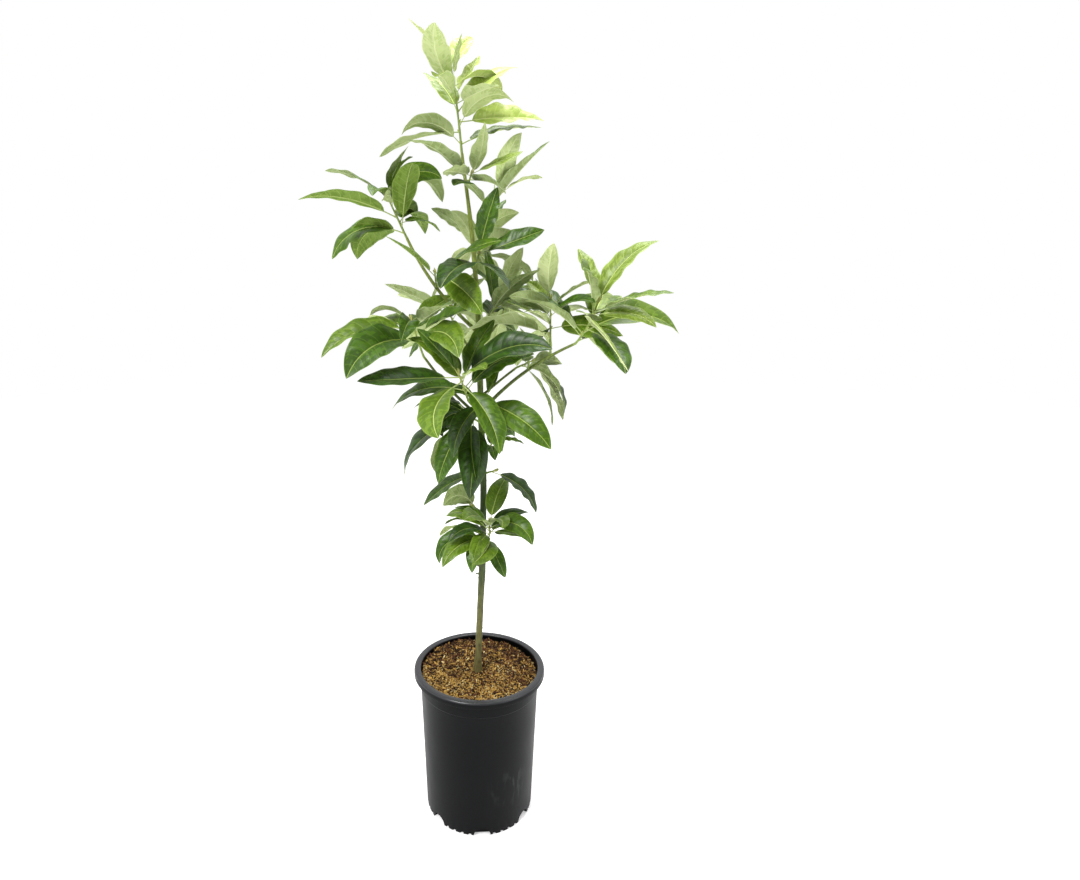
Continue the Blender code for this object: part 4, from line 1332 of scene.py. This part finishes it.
def add_chips():
    chance = random.Random(CHIP_SEED)
    heap = Heap()
    materials = []
    for name, (_, tone, _) in CHIPS.items():
        material = new_material("chips " + name, tone, roughness=0.85, specular=0.25)
        grain = object_noise(material, scale=1400.0, detail=4.0, stretch=(1.0, 0.3, 1.0))
        bump(material, grain, strength=0.8, distance=0.0004)
        materials.append(material)
    names = list(CHIPS)
    trunk_x, trunk_y = TRUNK_POINTS[0][:2]
    for _ in range(CHIP_COUNT):
        radius = CHIP_EDGE * math.sqrt(chance.random())
        a = chance.uniform(0.0, 2.0 * math.pi)
        x, y = radius * math.cos(a), radius * math.sin(a)
        if math.hypot(x - trunk_x, y - trunk_y) < TRUNK_FOOT_RADIUS + FLARE_RADIUS:
            continue
        name = chance.choices(names, chip_weights(x, y))[0]
        least, most = CHIPS[name][2]
        length = least + (most - least) * chance.random() ** CHIP_SMALLNESS
        corners, faces = chip(chance, length)
        turn = chance.uniform(0.0, 2.0 * math.pi)
        tilt, roll = [math.radians(chance.gauss(0.0, CHIP_TILT)) for _ in range(2)]
        place = np.array((x, y, soil_height(x, y) + chance.uniform(*CHIP_LIFT)))
        heap.add(corners @ turn_matrix(turn, tilt, roll).T + place, faces, [names.index(name)] * len(faces))
    chips = heap.piece("bark_chips", materials, crease=CHIP_CREASE)
    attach(chips, "root")


def bark_relief(path, at, seed, scale):
    """How far the bark stands out at each point: fine ridges along the limb and low swellings."""
    run = at * path_length(path)

    def relief(row, angles):
        out = np.empty(len(angles))
        for k, a in enumerate(angles):
            around = Vector((math.cos(a), math.sin(a), 0.0))
            ridge = noise.noise(Vector((around.x * 2.6, around.y * 2.6, run[row] / 0.014 + seed)))
            knots = noise.noise(Vector((around.x * 0.9, around.y * 0.9, run[row] / 0.030 + seed * 3.1)))
            out[k] = scale * (0.6 * ridge + 0.9 * knots)
        return out
    return relief


def add_scar(heap, centre, outward, along, radius, size):
    """A leaf scar: a low crescent boss on the bark."""
    side = np.cross(along, outward)
    vertices = []
    for share, height in SCAR_RINGS:
        for k in range(SCAR_SIDES):
            a = 2.0 * math.pi * k / SCAR_SIDES
            ring = side * math.cos(a) * size * share + along * math.sin(a) * size * share * SCAR_FLATNESS
            vertices.append(centre + outward * (radius + size * height) + ring)
    vertices.append(centre + outward * (radius + size * SCAR_TOP))
    faces = ring_faces(len(SCAR_RINGS), SCAR_SIDES)
    top = len(vertices) - 1
    last = top - SCAR_SIDES
    faces += [(last + k, last + (k + 1) % SCAR_SIDES, top) for k in range(SCAR_SIDES)]
    faces.append(tuple(range(SCAR_SIDES - 1, -1, -1)))
    heap.add(vertices, faces, [0] * len(faces))


def limb_frames():
    """The path and radii of the trunk, the boughs and the shoots' stems, as the solids have them."""
    trunk = smooth_path(TRUNK_POINTS)
    trunk[0, 2] += CLEAR
    paths = {"trunk": trunk}
    radii = {"trunk": [trunk_radius(point[2], share) for point, share in zip(trunk, shares(trunk))]}
    for name, limb in BOUGHS.items():
        paths[name] = limb_path(limb, BOUGH_STEPS, paths, radii)
        radii[name] = [between((limb.foot_radius, limb.tip_radius), share) for share in shares(paths[name])]
    stems = {}
    for name, (limb, _) in SHOOTS.items():
        path = limb_path(limb, STEM_STEPS, paths, radii)
        stems[name] = (path, [between((limb.foot_radius, limb.tip_radius), share) for share in shares(path)])
    return paths, radii, stems


def rooted_path(path, limb, paths):
    """A limb's path carried back into its parent, so that the two grow together."""
    foot, _ = point_on(paths[limb.parent], limb.at)
    inside = foot if limb.at < 1.0 else foot - unit(path[0] - foot) * ROOTING
    return np.vstack((inside, path))


def add_scars(heap, path, at, radii, chance):
    """Leaf scars in a spiral up a limb."""
    run = at * path_length(path)
    place = SCAR_SPACING
    turn = chance.uniform(0.0, 360.0)
    while place < run[-1] - SCAR_END:
        point, along = point_on(path, place / run[-1])
        radius = float(np.interp(place, run, radii))
        side = unit(np.cross(along, ACROSS if abs(along[0]) < 0.8 else UP))
        outward = turned_vector(side, along, turn)
        add_scar(heap, point, outward, along, radius, radius * chance.uniform(*SCAR_SIZES))
        turn += SPIRAL
        place += SCAR_SPACING * chance.uniform(0.6, 1.4)


def add_bark(paths, radii):
    heap = Heap()
    chance = random.Random(BARK_SEED)
    for number, (name, path) in enumerate(paths.items()):
        limb = BOUGHS.get(name)
        own = list(radii[name])
        if limb:
            path = rooted_path(path, limb, paths)
            own = [own[0]] + own
        row_path, at = resampled(smooth_path(path, 6), BARK_STEP)
        row_radii = np.interp(at, shares(path), own)
        if limb:
            out = np.maximum(at * path_length(row_path) - COLLAR_START, 0.0)
            row_radii = row_radii * (1.0 + COLLAR * np.exp(-out / COLLAR_REACH))
        sides, height = (BOUGH_SIDES, BOUGH_RELIEF) if limb else (TRUNK_SIDES, TRUNK_RELIEF)
        heap.add_tube(row_path, row_radii, sides, relief=bark_relief(row_path, at, 7.3 * number, height))
        add_scars(heap, row_path, at, row_radii, chance)
    for height, azimuth, rise, length in STUBS:
        share = float(np.interp(height, paths["trunk"][:, 2], shares(paths["trunk"])))
        start, _ = point_on(paths["trunk"], share)
        limb = Limb("trunk", share, azimuth, STUB_SWEEP, rise, rise + STUB_LIFT, length)
        stub = grown_path(start, limb, STUB_STEPS)
        heap.add_tube(stub, np.linspace(*STUB_RADII, len(stub)), STEM_SIDES)
    bark = heap.piece("bark_skin", [bark_material()])
    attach(bark, "root")
    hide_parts(*paths)


def plans_of_frame(name, path, leaves):
    """The leaves that the shoot's solid has, each at the turn it was given there."""
    mesh = frame["nodes"][name].data
    tree = KDTree(len(mesh.vertices))
    for vertex in mesh.vertices:
        tree.insert(vertex.co, vertex.index)
    tree.balance()
    kept = []
    for number, tries in enumerate(leaf_plans(path, leaves)):
        tips = [tree.find(Vector(midrib(*plan)[0][-1]))[2] for plan in tries]
        nearest = int(np.argmin(tips))
        if tips[nearest] < 0.0005:
            kept.append((number, tries[nearest]))
    return kept


def inner_plans(name, path, limbs):
    """Leaves between a shoot's own: each takes the first turn within the shoot's reach and off the limbs."""
    corners = np.array([tuple(vertex.co) for vertex in frame["nodes"][name].data.vertices])
    low, high = corners.min(axis=0), corners.max(axis=0)
    kept = []
    for number, tries in enumerate(leaf_plans(path, INNER_LEAVES[name])):
        if number > INNER_END * INNER_LEAVES[name].count:
            break
        for plan in tries:
            line = midrib(*plan)[0]
            gap = np.linalg.norm(line[2:, None] - limbs[None], axis=2).min()
            if np.all(line > low) and np.all(line < high) and gap > INNER_ROOM:
                kept.append((number, plan))
                break
    return kept


def tone_of(name, number, count):
    tones = SHOOT_TONES[name]
    return tones[min(int(number * len(tones) / max(count, 1)), len(tones) - 1)]


def add_petiole(twigs, plan, path, fine, run):
    """A leaf's stalk, and the bud in its axil."""
    foot, direction, _, length = plan[:4]
    stalk = read_off(fine, run, np.linspace(0, PETIOLE_SHARE + PETIOLE_OVERLAP, len(PETIOLE_SWELL)))
    radii = np.array(PETIOLE_SWELL) * PETIOLE_RADIUS * length
    twigs.add_tube(stalk, radii, PETIOLE_SIDES, PETIOLE_SLOT)
    side = unit(direction + unit(path[-1] - path[0]))
    add_bud(twigs, foot + side * AXIL_BUD_OFFSET, side, AXIL_BUD_LENGTH, AXIL_BUD_WIDTH)


def twig_materials():
    return [grained_material(name, tone, roughness, specular=0.35, scale=700.0, detail=4.0, spread=0.1)
            for name, tone, roughness in TWIG_PARTS]


def add_bud(heap, foot, direction, length, width):
    """A slim pointed bud, or a leaf that is still rolled up."""
    rows = np.linspace(0.0, 1.0, 9)
    path = np.array([foot + direction * length * t for t in rows])
    radii = width * np.sin(math.pi * np.clip(rows * 0.9 + 0.08, 0, 1)) ** 0.8 + 0.00012
    heap.add_tube(path, radii, 8, BUD_SLOT)


def add_stem(twigs, path, radii, limb, paths):
    """A shoot's stem, rooted in its parent and swollen a little at its nodes."""
    rooted = rooted_path(path, limb, paths)
    curve, at = resampled(smooth_path(rooted, 5), STEM_RING)
    stem_radii = np.interp(at, shares(rooted), [radii[0]] + list(radii))
    twigs.add_tube(curve, stem_radii * (1.0 + NODE_SWELL * np.sin(at * 9.0 * math.pi)), STEM_SIDES, STEM_SLOT)


def add_tip_buds(twigs, path, chance):
    tip, ahead = point_on(path, 1.0)
    for k in range(TIP_BUDS):
        lean = turned_vector(unit(np.cross(ahead, ACROSS) + 1e-6), ahead, 360.0 / TIP_BUDS * k)
        direction = unit(ahead + TIP_BUD_LEAN * lean)
        add_bud(twigs, tip - ahead * TIP_BUD_DEPTH, direction, chance.uniform(*TIP_BUD_LENGTH), TIP_BUD_WIDTH)


def add_leaves(heap, twigs, name, path, leaves, plans, chance):
    """The leaves of a shoot, with their petioles."""
    for number, plan in plans:
        fine, run = add_leaf(heap, plan, tone_of(name, number, leaves.count), chance)
        add_petiole(twigs, plan, path, fine, run)


def add_foliage(paths, stems):
    twigs = Heap()
    for piece_name, names in LEAF_PIECES.items():
        heap = Heap()
        for name in names:
            limb, leaves = SHOOTS[name]
            path, radii = stems[name]
            chance = random.Random(leaves.seed + BLADE_SEED)
            add_stem(twigs, path, radii, limb, paths)
            add_leaves(heap, twigs, name, path, leaves, plans_of_frame(name, path, leaves), chance)
            add_tip_buds(twigs, path, chance)
        piece = heap.piece(piece_name, LEAF_MATERIALS, crease=LEAF_CREASE)
        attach(piece, "root")
        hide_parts(*names)
    limbs = np.vstack([resampled(path, LIMB_SAMPLE)[0] for path in paths.values()])
    inner = Heap()
    for name, leaves in INNER_LEAVES.items():
        path = stems[name][0]
        chance = random.Random(leaves.seed + BLADE_SEED)
        add_leaves(inner, twigs, name, path, leaves, inner_plans(name, path, limbs), chance)
    piece = inner.piece("leaves_inner", LEAF_MATERIALS, crease=LEAF_CREASE)
    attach(piece, "root")
    piece = twigs.piece("twigs", twig_materials())
    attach(piece, "root")


add_camera()
add_studio()
add_pot()
add_soil()
limb_paths, limb_radii, shoot_stems = limb_frames()
add_bark(limb_paths, limb_radii)
add_foliage(limb_paths, shoot_stems)
